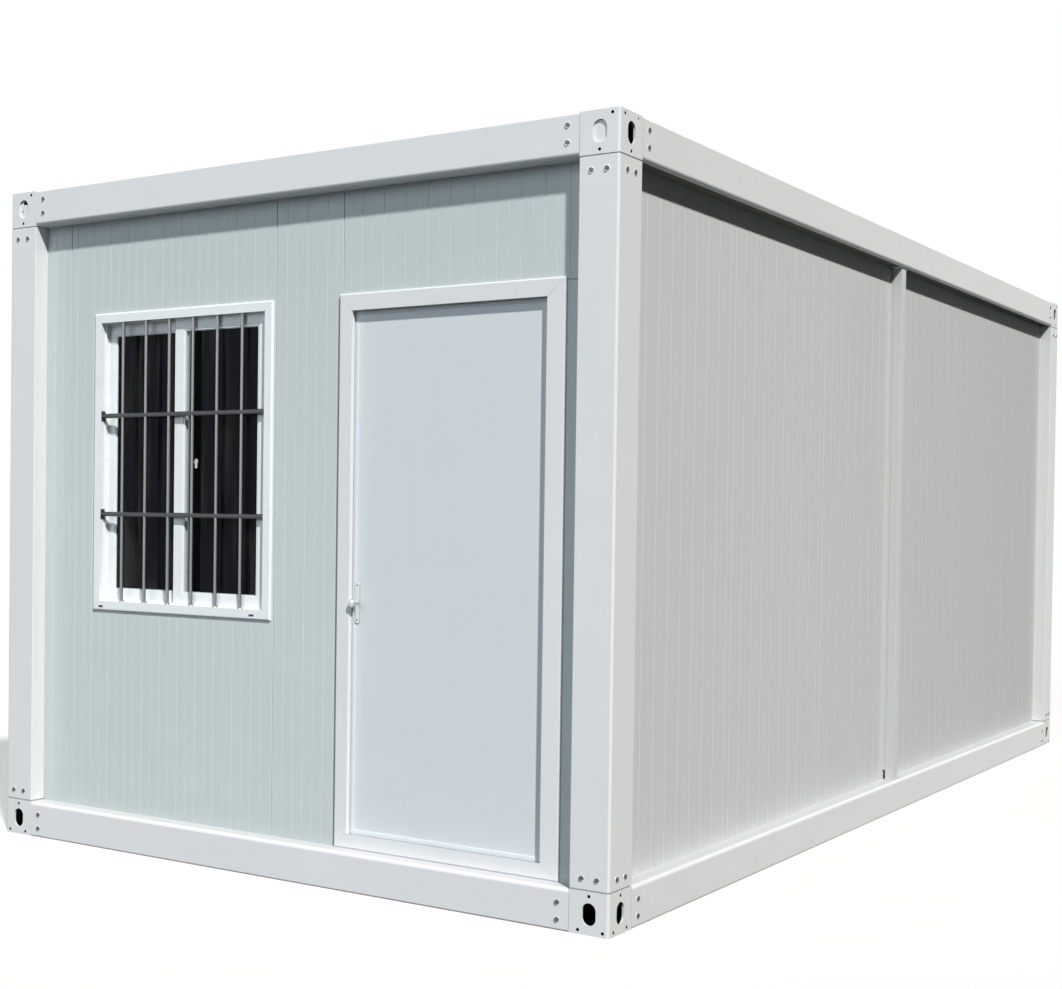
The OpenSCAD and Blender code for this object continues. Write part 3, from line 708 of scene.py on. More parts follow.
# Each finish: the function that makes it, the colour that it starts from and its other settings.
RECIPES = {
    "frame_paint": (coated, "steel_white", dict(roughness=0.40, splash=0.02)),
    "column_paint": (coated, "steel_white", dict(roughness=0.45, pale=0.82)),
    # The panels' darker foot is painted shade.
    "panel_paint": (coated, "panel_white", dict(roughness=0.44, canning=0.0012, foot=0.80, crown=0.94)),
    # The long walls' paint darkens towards the rear: painted shade.
    "side_paint": (coated, "side_white", dict(roughness=0.58, canning=0.0014, sheen=0.05, fade=0.84)),
    "inner_paint": (coated, "inner_white", dict(roughness=0.50, canning=0.0008, splash=0.0, grime=0.2)),
    "leaf_paint": (coated, "leaf_white", dict(roughness=0.38, canning=0.0009)),
    "roof_paint": (roof_coat, "roof_white", {}),
    "ceiling_paint": (coated, "ceiling_white", dict(roughness=0.48, canning=0.0007, splash=0.0, grime=0.1)),
    "dark_primer": (dark_primer, "primer", {}),
    "beam_primer": (beam_primer, "underside", {}),
    "galvanised": (galvanised, "zinc", {}),
    "floor_covering": (floor_covering, "board", {}),
    "board_underside": (board_underside, "board", {}),
    "window_plastic": (window_plastic, "window_white", {}),
    "window_glass": (window_glass, "glass_shade_tint", {}),
    "upright_steel": (steel, "bar_steel", dict(roughness=0.34, stretch=(1.0, 1.0, 0.04))),
    "level_steel": (steel, "dull_steel", dict(roughness=0.38, stretch=(0.04, 1.0, 1.0))),
    "hardware_steel": (steel, "bright_steel", dict(roughness=0.27, stretch=(1.0, 1.0, 0.06), dirt=0.15)),
    "bolt_steel": (steel, "bolt_steel", dict(roughness=0.45, dirt=0.5, metallic=0.8)),
    "washer_steel": (steel, "bright_steel", dict(roughness=0.42, dirt=0.3, metallic=0.9)),
    "rubber": (seal_rubber, "rubber", {}),
    "pale_rubber": (seal_rubber, "door_seal", {}),
    "glazing_gasket": (seal_rubber, "gasket", {}),
    "sealant": (seal_rubber, "sealant", {}),
    "ground": (ground, "ground", {}),
}


# Places on the frame

BLOCKS = sorted(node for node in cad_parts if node.startswith("block_"))
POSTS = sorted(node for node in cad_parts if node.startswith("post_"))
BEAMS = sorted(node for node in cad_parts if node.startswith("beam_"))
LAP = 0.010  # how far the trims of window and door cover the wall
STOP_LAP = 0.008  # how far the door stop covers the leaf
GLASS_SEAT = 0.0079  # how deep the panes sit in their sashes


def faces_of(node):
    """Which way a frame part faces across, along and up the house, as -1 or 1."""
    return (
        1 if node.endswith("right") else -1,
        -1 if "front" in node else 1,
        1 if "top" in node else -1,
    )


def corner_of(low, high, signs):
    """The corner of a box that lies the way of three signs."""
    return Vector([high[i] if signs[i] > 0 else low[i] for i in range(3)])


def beam_lie(node):
    """How a beam lies.

    The axes along and across it, the way it faces, the places of its outer face and outer edge,
    and the way from that edge inward.
    """
    low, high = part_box(node)
    along = 0 if node.endswith(("front", "rear")) else 1
    across = 1 - along
    outward = 1 if node.endswith(("rear", "right")) else -1
    face = high[across] if outward > 0 else low[across]
    return (along, across, outward, face, *((high.z, -1) if "top" in node else (low.z, 1)))


# Steps


PLATE_GAP = 0.0003  # between a closing plate and the hole that it closes
PLATE_T = 0.003
DRILL_START = 0.010  # outside the face that is drilled


def add_oval_plate(bm, point, inward, size):
    """An upright oval plate that faces along Y and closes the hole of a block."""
    radius = size.oval_w / 2 - PLATE_GAP
    stretch = (size.oval_h - size.oval_w) / 2
    place = Matrix.Translation(point) @ Matrix.Rotation(math.radians(90), 4, "X")
    rim = bmesh.ops.create_circle(bm, cap_ends=True, segments=40, radius=radius, matrix=place)["verts"]
    for vert in rim:
        vert.co.z += stretch if vert.co.z > point.z else -stretch
    push(bm, bmesh.ops.extrude_face_region, (0, inward * PLATE_T, 0), geom=[rim[0].link_faces[0]])


def drill(holes, point, inward, radius, sides=16):
    """A round hole that starts just outside a face and runs along inward."""
    point, inward = Vector(point), Vector(inward)
    # The hole's walls take the block's near-black second finish: painted shade for the hole's dark inside.
    add_rod(holes, point - inward.normalized() * DRILL_START, point + inward, radius, sides, worn=1)


END_DRILL = 0.016
SIDE_DRILL = 0.012
HOLE_FROM_SEAM = 0.016
HOLE_FROM_EDGE = 0.015
# The small holes at the outer edge of a block's faces: their places from the middle of the face
# outward and their shares of the full width. One more lies beside the seam, on the middle line.
SEAM_HOLE = (0.0, 1.0)
TOP_END_HOLE = 0.048
TOP_SIDE_HOLES = ((0.048, 1.0), (-0.048, 0.6))
BOTTOM_END_HOLES = ((0.054, 1.0), (-0.042, 1.0))
BOTTOM_SIDE_HOLES = ((0.048, 1.0), (-0.048, 1.0))
# The dark holes in the plates of the left top blocks, painted shadow for the shadow in their recess:
# place sideways, drop from the top and radius.
COVER_SHADOW_HOLES = ((0.007, 0.046, 0.0125), (-0.007, 0.080, 0.005))
# A dark plate behind the side oval of the left bottom blocks: painted shade, so that no light shows through
# the block.
SHADE_PLATE_T = 0.002
SHADE_PLATE_HALF_W = 0.045
SHADE_PLATE_HALF_H = 0.055


class HOUSE_OT_corner_blocks(bpy.types.Operator):
    """Eight hollow corner blocks with rounded edges and their small holes"""

    bl_idname = "house.corner_blocks"
    bl_label = "Corner Blocks"

    def execute(self, context):
        size = context.scene.house_sizes
        bore = size.weld_hole / 2
        for node in BLOCKS:
            low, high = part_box(node)
            x, y, z = faces_of(node)
            upper = z > 0
            out = corner_of(low, high, (x, y, z))
            at_seam = corner_of(low, high, (x, y, -z)).z + z * HOLE_FROM_SEAM
            at_edge = out.z - z * HOLE_FROM_EDGE
            middle = (low + high) / 2
            oval = out.z - z * size.oval_end
            end_holes = ((-x * y * TOP_END_HOLE, 1.0),) if upper else BOTTOM_END_HOLES
            side_holes = TOP_SIDE_HOLES if upper else BOTTOM_SIDE_HOLES
            holes = bmesh.new()
            for offset, share in (SEAM_HOLE, *end_holes):
                level = at_edge if offset else at_seam
                drill(holes, (middle.x + x * offset, out.y, level), (0, -y * END_DRILL, 0), bore * share)
            for offset, share in (SEAM_HOLE, *side_holes):
                level = at_edge if offset else at_seam
                drill(holes, (out.x, middle.y + y * offset, level), (-x * SIDE_DRILL, 0, 0), bore * share)
            # Dark holes in the cover plates of the left top blocks: painted shadow.
            if upper and x < 0:
                for offset, drop, radius in COVER_SHADOW_HOLES:
                    point = (middle.x - y * offset, out.y, out.z - drop)
                    drill(holes, point, (0, -y * END_DRILL, 0), radius, 24)
            bm = merged_copy(node)
            # Faces deep inside the block take the near-black finish: painted shade for the dark hollow.
            for face in bm.faces:
                place = face.calc_center_median()
                depth = min(min(place[i] - low[i], high[i] - place[i]) for i in range(3))
                face.material_index = 1 if depth > size.block_t * 0.75 else 0
            if upper:
                add_oval_plate(bm, Vector((middle.x, out.y - y * size.cover_depth, oval)), -y, size)
            # Painted shade: a near-black plate inside the left bottom blocks.
            elif x < 0:
                inside = out.x + size.block_t + PLATE_GAP
                back, front = middle.y - SHADE_PLATE_HALF_W, middle.y + SHADE_PLATE_HALF_W
                foot, head = oval - SHADE_PLATE_HALF_H, oval + SHADE_PLATE_HALF_H
                add_slab(bm, (inside, back, foot), (inside + SHADE_PLATE_T, front, head), 1)
            put_piece(
                node + "_shell", bm, ("frame_paint", "dark_primer"), [node],
                carved=holes, edge=size.edge_round,
            )
        return {"FINISHED"}


PLAIN_POST_ROUND = 0.003
POST_CORE_INSET = 0.005


class HOUSE_OT_posts(bpy.types.Operator):
    """Four corner posts with a rounded outer edge and open seams at both ends"""

    bl_idname = "house.posts"
    bl_label = "Posts"

    def execute(self, context):
        size = context.scene.house_sizes
        for node in POSTS:
            low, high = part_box(node)
            out = corner_of(low, high, faces_of(node))
            bm = bmesh.new()
            verts = add_slab(bm, low + size.post_seam * UP, high - size.post_seam * UP)
            outer = edges_at(verts, 2, x=out.x, y=out.y)
            plain = [edge for edge in edges_along(verts, 2) if edge not in outer]
            round_edges(bm, plain, PLAIN_POST_ROUND, 3)
            round_edges(bm, edges_at(list(bm.verts), 2, x=out.x, y=out.y), size.corner_round, 6)
            inset = Vector((POST_CORE_INSET, POST_CORE_INSET, 0))
            add_slab(bm, low + inset, high - inset)
            put_piece(node + "_tube", bm, ("frame_paint",), [node], edge=0.001)
        return {"FINISHED"}


OUTER_BEND = 0.008
INNER_BEND = 0.005


class HOUSE_OT_beams(bpy.types.Operator):
    """Eight beams folded from sheet, with round edges and return lips"""

    bl_idname = "house.beams"
    bl_label = "Beams"

    def execute(self, context):
        size = context.scene.house_sizes
        for node in BEAMS:
            low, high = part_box(node)
            along, across, outward, face, foot, rise = beam_lie(node)
            depth, tall = high[across] - low[across], high.z - low.z

            def point(inward, level):
                place = Vector((0, 0, foot + rise * level))
                place[along] = low[along] + size.beam_seam
                place[across] = face - outward * inward
                return place

            bends = (
                (point(depth, 0), INNER_BEND),
                (point(0, 0), OUTER_BEND),
                (point(0, tall), size.beam_round),
                (point(depth, tall), INNER_BEND),
            )
            lips = point(depth, size.beam_lip), point(depth, tall - size.beam_lip)
            run = Vector((0, 0, 0))
            run[along] = high[along] - low[along] - 2 * size.beam_seam
            bm = bmesh.new()
            add_strip(bm, [lips[0], *(bend for bend, _ in bends), lips[1]], run)
            for bend, radius in bends:
                place = {"xy"[across]: bend[across], "z": bend.z}
                round_edges(bm, edges_at(list(bm.verts), along, **place), radius, 6)
            bmesh.ops.recalc_face_normals(bm, faces=bm.faces)
            web = max(
                (side for side in bm.faces if abs(side.calc_center_median()[across] - face) < 0.001),
                key=lambda side: side.calc_area(),
            )
            if web.normal[across] * outward < 0:
                bmesh.ops.reverse_faces(bm, faces=bm.faces)
            # The undersides of the long top beams take the dark coat: painted shade.
            if node in ("beam_top_left", "beam_top_right"):
                for side in bm.faces:
                    below = side.calc_center_median().z < low.z + SMALLEST * 5
                    side.material_index = 1 if below else 0
            finishes = ("frame_paint", "beam_primer")
            put_piece(node + "_fold", bm, finishes, [node], sheet_t=size.steel_t, closed=False)
        return {"FINISHED"}


WASHER_T = 0.0014
WASHER_SLOPE = 0.0006  # by which a washer's upper rim is narrower
HEAD_SHARE = 0.86  # of a bolt head's height below its dome
DOME_LAP = 0.0004
DOME_INSET = 0.0002
DOME_SLOPE = 0.0018


def add_bolt(bm, point, outward, size):
    """A hexagon head with a low dome on a washer."""
    outward = Vector(outward)
    washer = size.washer_d / 2
    seated = point + outward * WASHER_T
    top = point + outward * (WASHER_T + size.bolt_h * HEAD_SHARE)
    crest = point + outward * (WASHER_T + size.bolt_h)
    flat = size.bolt_across / 2
    add_rod(bm, point, seated, washer, 24, washer - WASHER_SLOPE, worn=1)
    add_rod(bm, seated, top, size.bolt_across / math.sqrt(3), 6)
    add_rod(bm, top - outward * DOME_LAP, crest, flat - DOME_INSET, 20, flat - DOME_SLOPE)


POST_BOLT_FOOT = 0.043  # above the foot of a post
POST_BOLT_HEAD = 0.051  # below its head
POST_BOLT_HALF_PITCH = 0.030
BEAM_BOLT_END = 0.047  # from the end of a beam
BEAM_BOLT_LEVELS = (0.038, 0.098)  # from the outer edge of a beam


class HOUSE_OT_frame_bolts(bpy.types.Operator):
    """The bolts that join posts and beams to the corner blocks"""

    bl_idname = "house.frame_bolts"
    bl_label = "Frame Bolts"

    def execute(self, context):
        size = context.scene.house_sizes
        bm = bmesh.new()
        for node in POSTS:
            low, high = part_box(node)
            x, y, _ = faces_of(node)
            out = corner_of(low, high, (x, y, 1))
            middle = (low + high) / 2
            for level in (low.z + POST_BOLT_FOOT, high.z - POST_BOLT_HEAD):
                for step in (-POST_BOLT_HALF_PITCH, POST_BOLT_HALF_PITCH):
                    add_bolt(bm, Vector((middle.x + step, out.y, level)), (0, y, 0), size)
                    add_bolt(bm, Vector((out.x, middle.y + step, level)), (x, 0, 0), size)
        for node in BEAMS:
            low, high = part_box(node)
            along, across, outward, face, foot, rise = beam_lie(node)
            facing = Vector((0, 0, 0))
            facing[across] = outward
            for level in BEAM_BOLT_LEVELS:
                for place in (low[along] + BEAM_BOLT_END, high[along] - BEAM_BOLT_END):
                    point = Vector((0, 0, foot + rise * level))
                    point[along] = place
                    point[across] = face
                    add_bolt(bm, point, facing, size)
        put_piece("frame_bolts", bm, ("bolt_steel", "washer_steel"))
        return {"FINISHED"}


COLUMN_PLATE_T = 0.005
COLUMN_PLATE_REACH = 0.036  # how far the end plates stand out beside a column
COLUMN_PLATE_INSET = 0.001
PACKING_INSET = 0.0015
PACKING_FOOT = 0.046
PACKING_HEAD = 0.006


class HOUSE_OT_middle_columns(bpy.types.Operator):
    """The slim columns half way along the long walls, with end plates and packing behind them"""

    bl_idname = "house.middle_columns"
    bl_label = "Middle Columns"

    def execute(self, context):
        bm = merged_copy("middle_columns")
        for low, high in solids("middle_columns"):
            left, right = low.x + COLUMN_PLATE_INSET, high.x - COLUMN_PLATE_INSET
            near, far = low.y - COLUMN_PLATE_REACH, high.y + COLUMN_PLATE_REACH
            for level, step in ((low.z, COLUMN_PLATE_T), (high.z, -COLUMN_PLATE_T)):
                add_slab(bm, (left, near, level), (right, far, level + step))
            on_right = low.x > 0
            wall_low, wall_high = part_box("wall_right" if on_right else "wall_left")
            back, wall = (low.x, wall_high.x) if on_right else (high.x, wall_low.x)
            foot, head = low.z + PACKING_FOOT, high.z - PACKING_HEAD
            add_slab(bm, (back, low.y + PACKING_INSET, foot), (wall, high.y - PACKING_INSET, head))
        put_piece(
            "middle_column_tubes", bm, ("column_paint",), ["middle_columns"],
            edge=0.002, steps=3,
        )
        return {"FINISHED"}


CLEAT_GAP = 0.002  # between the end of a joist and its angle cleats
CLEAT_REACH = 0.045
CLEAT_T = 0.004
CLEAT_FOOT = 0.012
CLEAT_HEAD = 0.008
CLEAT_SCREW_PLACE = 0.024
CLEAT_SCREW_FOOT = 0.030
CLEAT_SCREW_HEAD = 0.026
CLEAT_SCREW_D = 0.014


class HOUSE_OT_floor(bpy.types.Operator):
    """Floor board with its covering, on galvanised joists with angle cleats"""

    bl_idname = "house.floor"
    bl_label = "Floor"

    def execute(self, context):
        board = merged_copy("floor_board")
        board.normal_update()
        for face in board.faces:
            face.material_index = 0 if face.normal.z > 0.5 else 1
        finishes = ("floor_covering", "board_underside")
        put_piece("floor_board_covered", board, finishes, ["floor_board"], edge=0.0008)
        joists = merged_copy("floor_joists")
        for low, high in solids("floor_joists"):
            for end, inward in ((low.x + CLEAT_GAP, 1), (high.x - CLEAT_GAP, -1)):
                reach, screw = end + inward * CLEAT_REACH, end + inward * CLEAT_SCREW_PLACE
                for side, face in ((-1, low.y), (1, high.y)):
                    outer = face + side * CLEAT_T
                    add_slab(joists, (end, face, low.z + CLEAT_FOOT), (reach, outer, high.z - CLEAT_HEAD))
                    for level in (low.z + CLEAT_SCREW_FOOT, high.z - CLEAT_SCREW_HEAD):
                        add_screw(joists, Vector((screw, outer, level)), (0, side, 0), CLEAT_SCREW_D)
        put_piece("floor_joist_tubes", joists, ("galvanised",), ["floor_joists"], edge=0.0012)
        return {"FINISHED"}


SHEET_GAP = 0.0008  # between the roof sheet's valleys and the purlins
RIB_FOOT = 0.050  # half width of a roof rib at its foot
RIB_CREST = 0.030  # and at its crest
SWAGE_PLACE = 0.100  # of the small stiffening fold between two ribs
SWAGE_FOOT = 0.007
SWAGE_CREST = 0.0035
SWAGE_H = 0.003
FLASHING_W = 0.070
FLASHING_T = 0.0015
FLASHING_H = 0.034
ROOF_SCREWS = 8  # along one purlin
ROOF_SCREW_END = 0.10
ROOF_WASHER_T = 0.002
ROOF_WASHER_R = 0.0095
ROOF_WASHER_TIP = 0.0085
ROOF_SCREW_H = 0.0065
ROOF_SCREW_R = 0.0046


class HOUSE_OT_roof(bpy.types.Operator):
    """Ribbed roof sheet with edge flashings and screws, on galvanised purlins"""

    bl_idname = "house.roof"
    bl_label = "Roof"

    def execute(self, context):
        size = context.scene.house_sizes
        low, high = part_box("roof_sheet")
        valley = low.z + size.roof_t + SHEET_GAP
        crest = high.z
        ribs = int((high.y - low.y) / size.roof_pitch + 0.001)
        middles = [(i - (ribs - 1) / 2) * size.roof_pitch for i in range(ribs)]
        line = [(low.y, valley)]
        for middle in middles:
            line += [(middle - RIB_FOOT, valley), (middle - RIB_CREST, crest)]
            line += [(middle + RIB_CREST, crest), (middle + RIB_FOOT, valley)]
            if middle != middles[-1]:
                swage, raised = middle + SWAGE_PLACE, valley + SWAGE_H
                line += [(swage - SWAGE_FOOT, valley), (swage - SWAGE_CREST, raised)]
                line += [(swage + SWAGE_CREST, raised), (swage + SWAGE_FOOT, valley)]
        line.append((high.y, valley))
        bm = bmesh.new()
        add_strip(bm, [Vector((low.x, y, z)) for y, z in line], Vector((high.x - low.x, 0, 0)))
        bmesh.ops.recalc_face_normals(bm, faces=bm.faces)
        if sum(face.normal.z for face in bm.faces) < 0:
            bmesh.ops.reverse_faces(bm, faces=bm.faces)
        put_piece(
            "roof_sheeting", bm, ("roof_paint",), ["roof_sheet"],
            sheet_t=size.roof_t, crease=20.0, closed=False,
        )
        rim = bmesh.new()
        upper, top = crest + FLASHING_T, crest + FLASHING_H
        for side, x, y in ((-1, low.x, low.y), (1, high.x, high.y)):
            inner = side * FLASHING_W
            outer = side * FLASHING_T
            add_slab(rim, (x, low.y, crest), (x - inner, high.y, upper))
            add_slab(rim, (x + outer, low.y, crest), (x, high.y, top))
            add_slab(rim, (low.x, y, upper), (high.x, y - inner, upper + FLASHING_T))
            add_slab(rim, (low.x, y + outer, crest), (high.x, y, top))
        put_piece("roof_flashing", rim, ("roof_paint",), edge=0.0004, steps=1)
        screws = bmesh.new()
        spread = high.x - low.x - 2 * ROOF_SCREW_END
        for y in sorted({round((a.y + b.y) / 2, 4) for a, b in solids("roof_purlins")}):
            nearest = min(middles, key=lambda middle: abs(middle - y))
            for k in range(ROOF_SCREWS):
                point = Vector((low.x + ROOF_SCREW_END + k * spread / (ROOF_SCREWS - 1), nearest, crest))
                seated = point + UP * ROOF_WASHER_T
                add_rod(screws, point, seated, ROOF_WASHER_R, 14, ROOF_WASHER_TIP, worn=1)
                add_rod(screws, seated, point + UP * ROOF_SCREW_H, ROOF_SCREW_R, 6)
        put_piece("roof_screws", screws, ("washer_steel", "rubber"))
        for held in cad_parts["roof_purlins"].material_slots:
            held.material = finish_named("galvanised")
        return {"FINISHED"}


BOARD_PITCH = 0.100
BOARD_GROOVE = 0.004  # half width of a ceiling groove at its mouth
BOARD_GROOVE_DEPTH = 0.003
POST_NOTCH = Vector((0.003, 0.003, 0.1))  # by which the ceiling's notches are larger than the posts


class HOUSE_OT_ceiling(bpy.types.Operator):
    """Ceiling boards with small grooves between them"""

    bl_idname = "house.ceiling"
    bl_label = "Ceiling"

    def execute(self, context):
        low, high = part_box("ceiling_sheet")
        groove, deep = BOARD_GROOVE, low.z + BOARD_GROOVE_DEPTH
        outline = [(low.x, low.z)]
        count = int((high.x - low.x) / BOARD_PITCH)
        for i in range(count + 1):
            x = (i - count / 2) * BOARD_PITCH
            if low.x + groove < x < high.x - groove:
                outline += [(x - groove, low.z), (x - groove / 2, deep)]
                outline += [(x + groove / 2, deep), (x + groove, low.z)]
        outline += [(high.x, low.z), (high.x, high.z), (low.x, high.z)]
        bm = bmesh.new()
        add_prism(bm, [Vector((x, low.y, z)) for x, z in outline], Vector((0, high.y - low.y, 0)))
        notches = bmesh.new()
        for node in POSTS:
            near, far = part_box(node)
            add_slab(notches, near - POST_NOTCH, far + POST_NOTCH)
        put_piece(
            "ceiling_boards", bm, ("ceiling_paint",), ["ceiling_sheet"], carved=notches
        )
        return {"FINISHED"}


GROOVE_MARGIN = 0.012  # no groove lies nearer to the edge of a panel
INNER_GROOVE_DEPTH = 0.0008
WEAK_GROOVE = 0.45  # share of the full depth
TONGUE_HALF_W = 0.006
TONGUE_DEPTH = 0.010  # below both faces of a panel
TONGUE_SHORT = 0.001
PANEL_GAP = 0.001  # half of the gap between two panels


def add_panel(bm, low, high, facing, first, pitch, depth, size):
    """A sandwich panel: upright grooves a pitch apart outside, finer ones inside, and chamfered edges."""
    along = 0 if facing[1] else 1
    across = 1 - along
    sign = facing[across]
    face = high[across] if sign > 0 else low[across]
    thick = high[across] - low[across]
    start, end, chamfer, half = low[along], high[along], size.joint_round, size.rib_w / 2
    marks = [
        (place, share) for place, share in marks_from(first, pitch, start, end)
        if start + GROOVE_MARGIN < place < end - GROOVE_MARGIN
    ]
    line = [(start, chamfer), (start + chamfer, 0.0)]
    for place, share in marks:
        wide = half * (0.5 + 0.5 * share)
        line += [(place - wide, 0.0), (place, depth * share), (place + wide, 0.0)]
    line += [(end - chamfer, 0.0), (end, chamfer), (end, thick - chamfer), (end - chamfer, thick)]
    for place, share in reversed(marks):
        if share > 0.9:
            line += [(place + half, thick), (place, thick - INNER_GROOVE_DEPTH), (place - half, thick)]
    line += [(start + chamfer, thick), (start, thick - chamfer)]

    def point(run, inward):
        place = Vector((0, 0, low.z))
        place[along] = run
        place[across] = face - sign * inward
        return place

    made = add_prism(bm, [point(*pair) for pair in line], Vector((0, 0, high.z - low.z)))
    for panel_face in {f for vert in made for f in vert.link_faces}:
        if abs(panel_face.calc_center_median()[across] - face) > 0.7 * thick:
            panel_face.material_index = 1


def add_tongue(bm, low, high, facing, place):
    """The tongue that closes the joint at the end of a panel."""
    along = 0 if facing[1] else 1
    near, far = Vector(low), Vector(high)
    near[along], far[along] = place - TONGUE_HALF_W, place + TONGUE_HALF_W
    near[1 - along] += TONGUE_DEPTH
    far[1 - along] -= TONGUE_DEPTH
    near.z += TONGUE_SHORT
    far.z -= TONGUE_SHORT
    add_slab(bm, near, far)


def marks_from(first, pitch, low, high):
    """Places and shares of depth: full grooves a pitch apart from one place, weak ones half way between."""
    half = pitch / 2
    count = int((high - low) / half) + 3
    start = first - half * int((first - low) / half + 1)
    marks = []
    for i in range(count):
        place = start + i * half
        steps = (place - first) / pitch
        marks.append((place, 1.0 if abs(steps - round(steps)) < 0.01 else WEAK_GROOVE))
    return marks


def put_wall(name, bm, paint, node, carved=None):
    """A piece of wall panels with the room's paint on their inner faces."""
    put_piece(name, bm, (paint, "inner_paint"), [node], carved=carved, crease=25.0)


def put_panel_row(name, paint, node, facing, first, pitch, depth, size):
    """A wall of panels side by side.

    First is the place of a full groove from a panel's near edge, or from its far one if negative.
    """
    along = 0 if facing[1] else 1
    panels = solids(node)
    bm = bmesh.new()
    for low, high in panels:
        add_panel(bm, low, high, facing, (low if first > 0 else high)[along] + first, pitch, depth, size)
    for low, high in panels[:-1]:
        add_tongue(bm, low, high, facing, high[along] + PANEL_GAP)
    put_wall(name, bm, paint, node)


WINDOW_PANEL_GROOVE = -0.955
STRIPS_GROOVE = 0.010
OVER_DOOR_GROOVE = 0.375


class HOUSE_OT_front_wall(bpy.types.Operator):
    """The end wall with the door and the window"""

    bl_idname = "house.front_wall"
    bl_label = "Door End Wall"

    def execute(self, context):
        size = context.scene.house_sizes
        facing = (0, -1, 0)
        ribs = size.rib_pitch, size.rib_depth, size
        window_low, window_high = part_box("window_frame")
        panel_low, panel_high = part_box("wall_window_panel")
        bm = bmesh.new()
        add_panel(bm, panel_low, panel_high, facing, WINDOW_PANEL_GROOVE, *ribs)
        opening = bmesh.new()
        lap = Vector((LAP, 0, LAP))
        near, far = window_low + lap, window_high - lap
        near.y, far.y = panel_low.y - 0.1, panel_high.y + 0.1
        add_slab(opening, near, far)
        put_wall("window_panel", bm, "panel_paint", "wall_window_panel", opening)
        bm = bmesh.new()
        for low, high in solids("wall_front_strips"):
            add_panel(bm, low, high, facing, STRIPS_GROOVE, *ribs)
        for joint in (panel_low.x - PANEL_GAP, panel_high.x + PANEL_GAP):
            add_tongue(bm, panel_low, panel_high, facing, joint)
        put_wall("front_strips", bm, "panel_paint", "wall_front_strips")
        bm = bmesh.new()
        add_panel(bm, *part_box("wall_over_door"), facing, OVER_DOOR_GROOVE, *ribs)
        put_wall("over_door_panel", bm, "panel_paint", "wall_over_door")
        return {"FINISHED"}


REAR_GROOVE = 0.050


class HOUSE_OT_rear_wall(bpy.types.Operator):
    """The plain end wall at the back"""

    bl_idname = "house.rear_wall"
    bl_label = "Rear Wall"

    def execute(self, context):
        size = context.scene.house_sizes
        ribs = REAR_GROOVE, size.rib_pitch, size.rib_depth, size
        put_panel_row("rear_panels", "panel_paint", "wall_rear", (0, 1, 0), *ribs)
        return {"FINISHED"}


SIDE_GROOVE = -0.050


class HOUSE_OT_long_walls(bpy.types.Operator):
    """The two long walls of six panels each"""

    bl_idname = "house.long_walls"
    bl_label = "Long Walls"

    def execute(self, context):
        size = context.scene.house_sizes
        ribs = SIDE_GROOVE, 2 * size.side_rib_pitch, size.side_rib_depth, size
        for side, node in ((-1, "wall_left"), (1, "wall_right")):
            put_panel_row(node + "_panels", "side_paint", node, (side, 0, 0), *ribs)
        return {"FINISHED"}


MITRE_CUT = 0.0009  # width and depth of the hairline at a mitre


def add_mitre_cuts(bm, outer, inner, face_y):
    """Hairline cuts across the four corners of a frame that faces along -Y, from one box to another."""
    for x_end in (0, 1):
        for z_end in (0, 1):
            a = Vector((outer[x_end].x, face_y, outer[z_end].z))
            b = Vector((inner[x_end].x, face_y, inner[z_end].z))
            run = b - a
            turn = Matrix.Rotation(-math.atan2(run.z, run.x), 4, "Y")
            reach = Matrix.Diagonal((run.length + 0.001, 2 * MITRE_CUT, MITRE_CUT, 1.0))
            bmesh.ops.create_cube(bm, size=1.0, matrix=Matrix.Translation((a + b) / 2) @ turn @ reach)


def rim_edges(bm, low, high):
    """The outer edges of a trim that faces along -Y."""
    found = []
    for edge in bm.edges:
        ends = [vert.co for vert in edge.verts]
        in_front = all(abs(end.y - low.y) < SMALLEST for end in ends)
        beside = any(all(abs(end.x - x) < SMALLEST for end in ends) for x in (low.x, high.x))
        over = any(all(abs(end.z - z) < SMALLEST for end in ends) for z in (low.z, high.z))
        if in_front and (beside or over):
            found.append(edge)
    return found


TRACK_LAP = 0.001  # how far the tracks lie in the frame
TRACK_H = 0.007
MIDDLE_TRACK_H = 0.010
OUTER_TRACK = (0.0019, 0.0007)  # start and end before the outer sash
INNER_TRACK = (0.0008, 0.0030)  # start and end behind the inner sash
SASH_PLAY = 0.0003
CAP_LEFT = 0.050  # from the left edge of the frame to the middle of a drain cap
CAP_RIGHT = 0.095  # from the right edge
CAP_OUT = 0.0012
CAP_SINK = 0.002
CAP_HALF_W = 0.013
CAP_FOOT = 0.013
CAP_HEAD = 0.021
CAP_ROUND = 0.0039


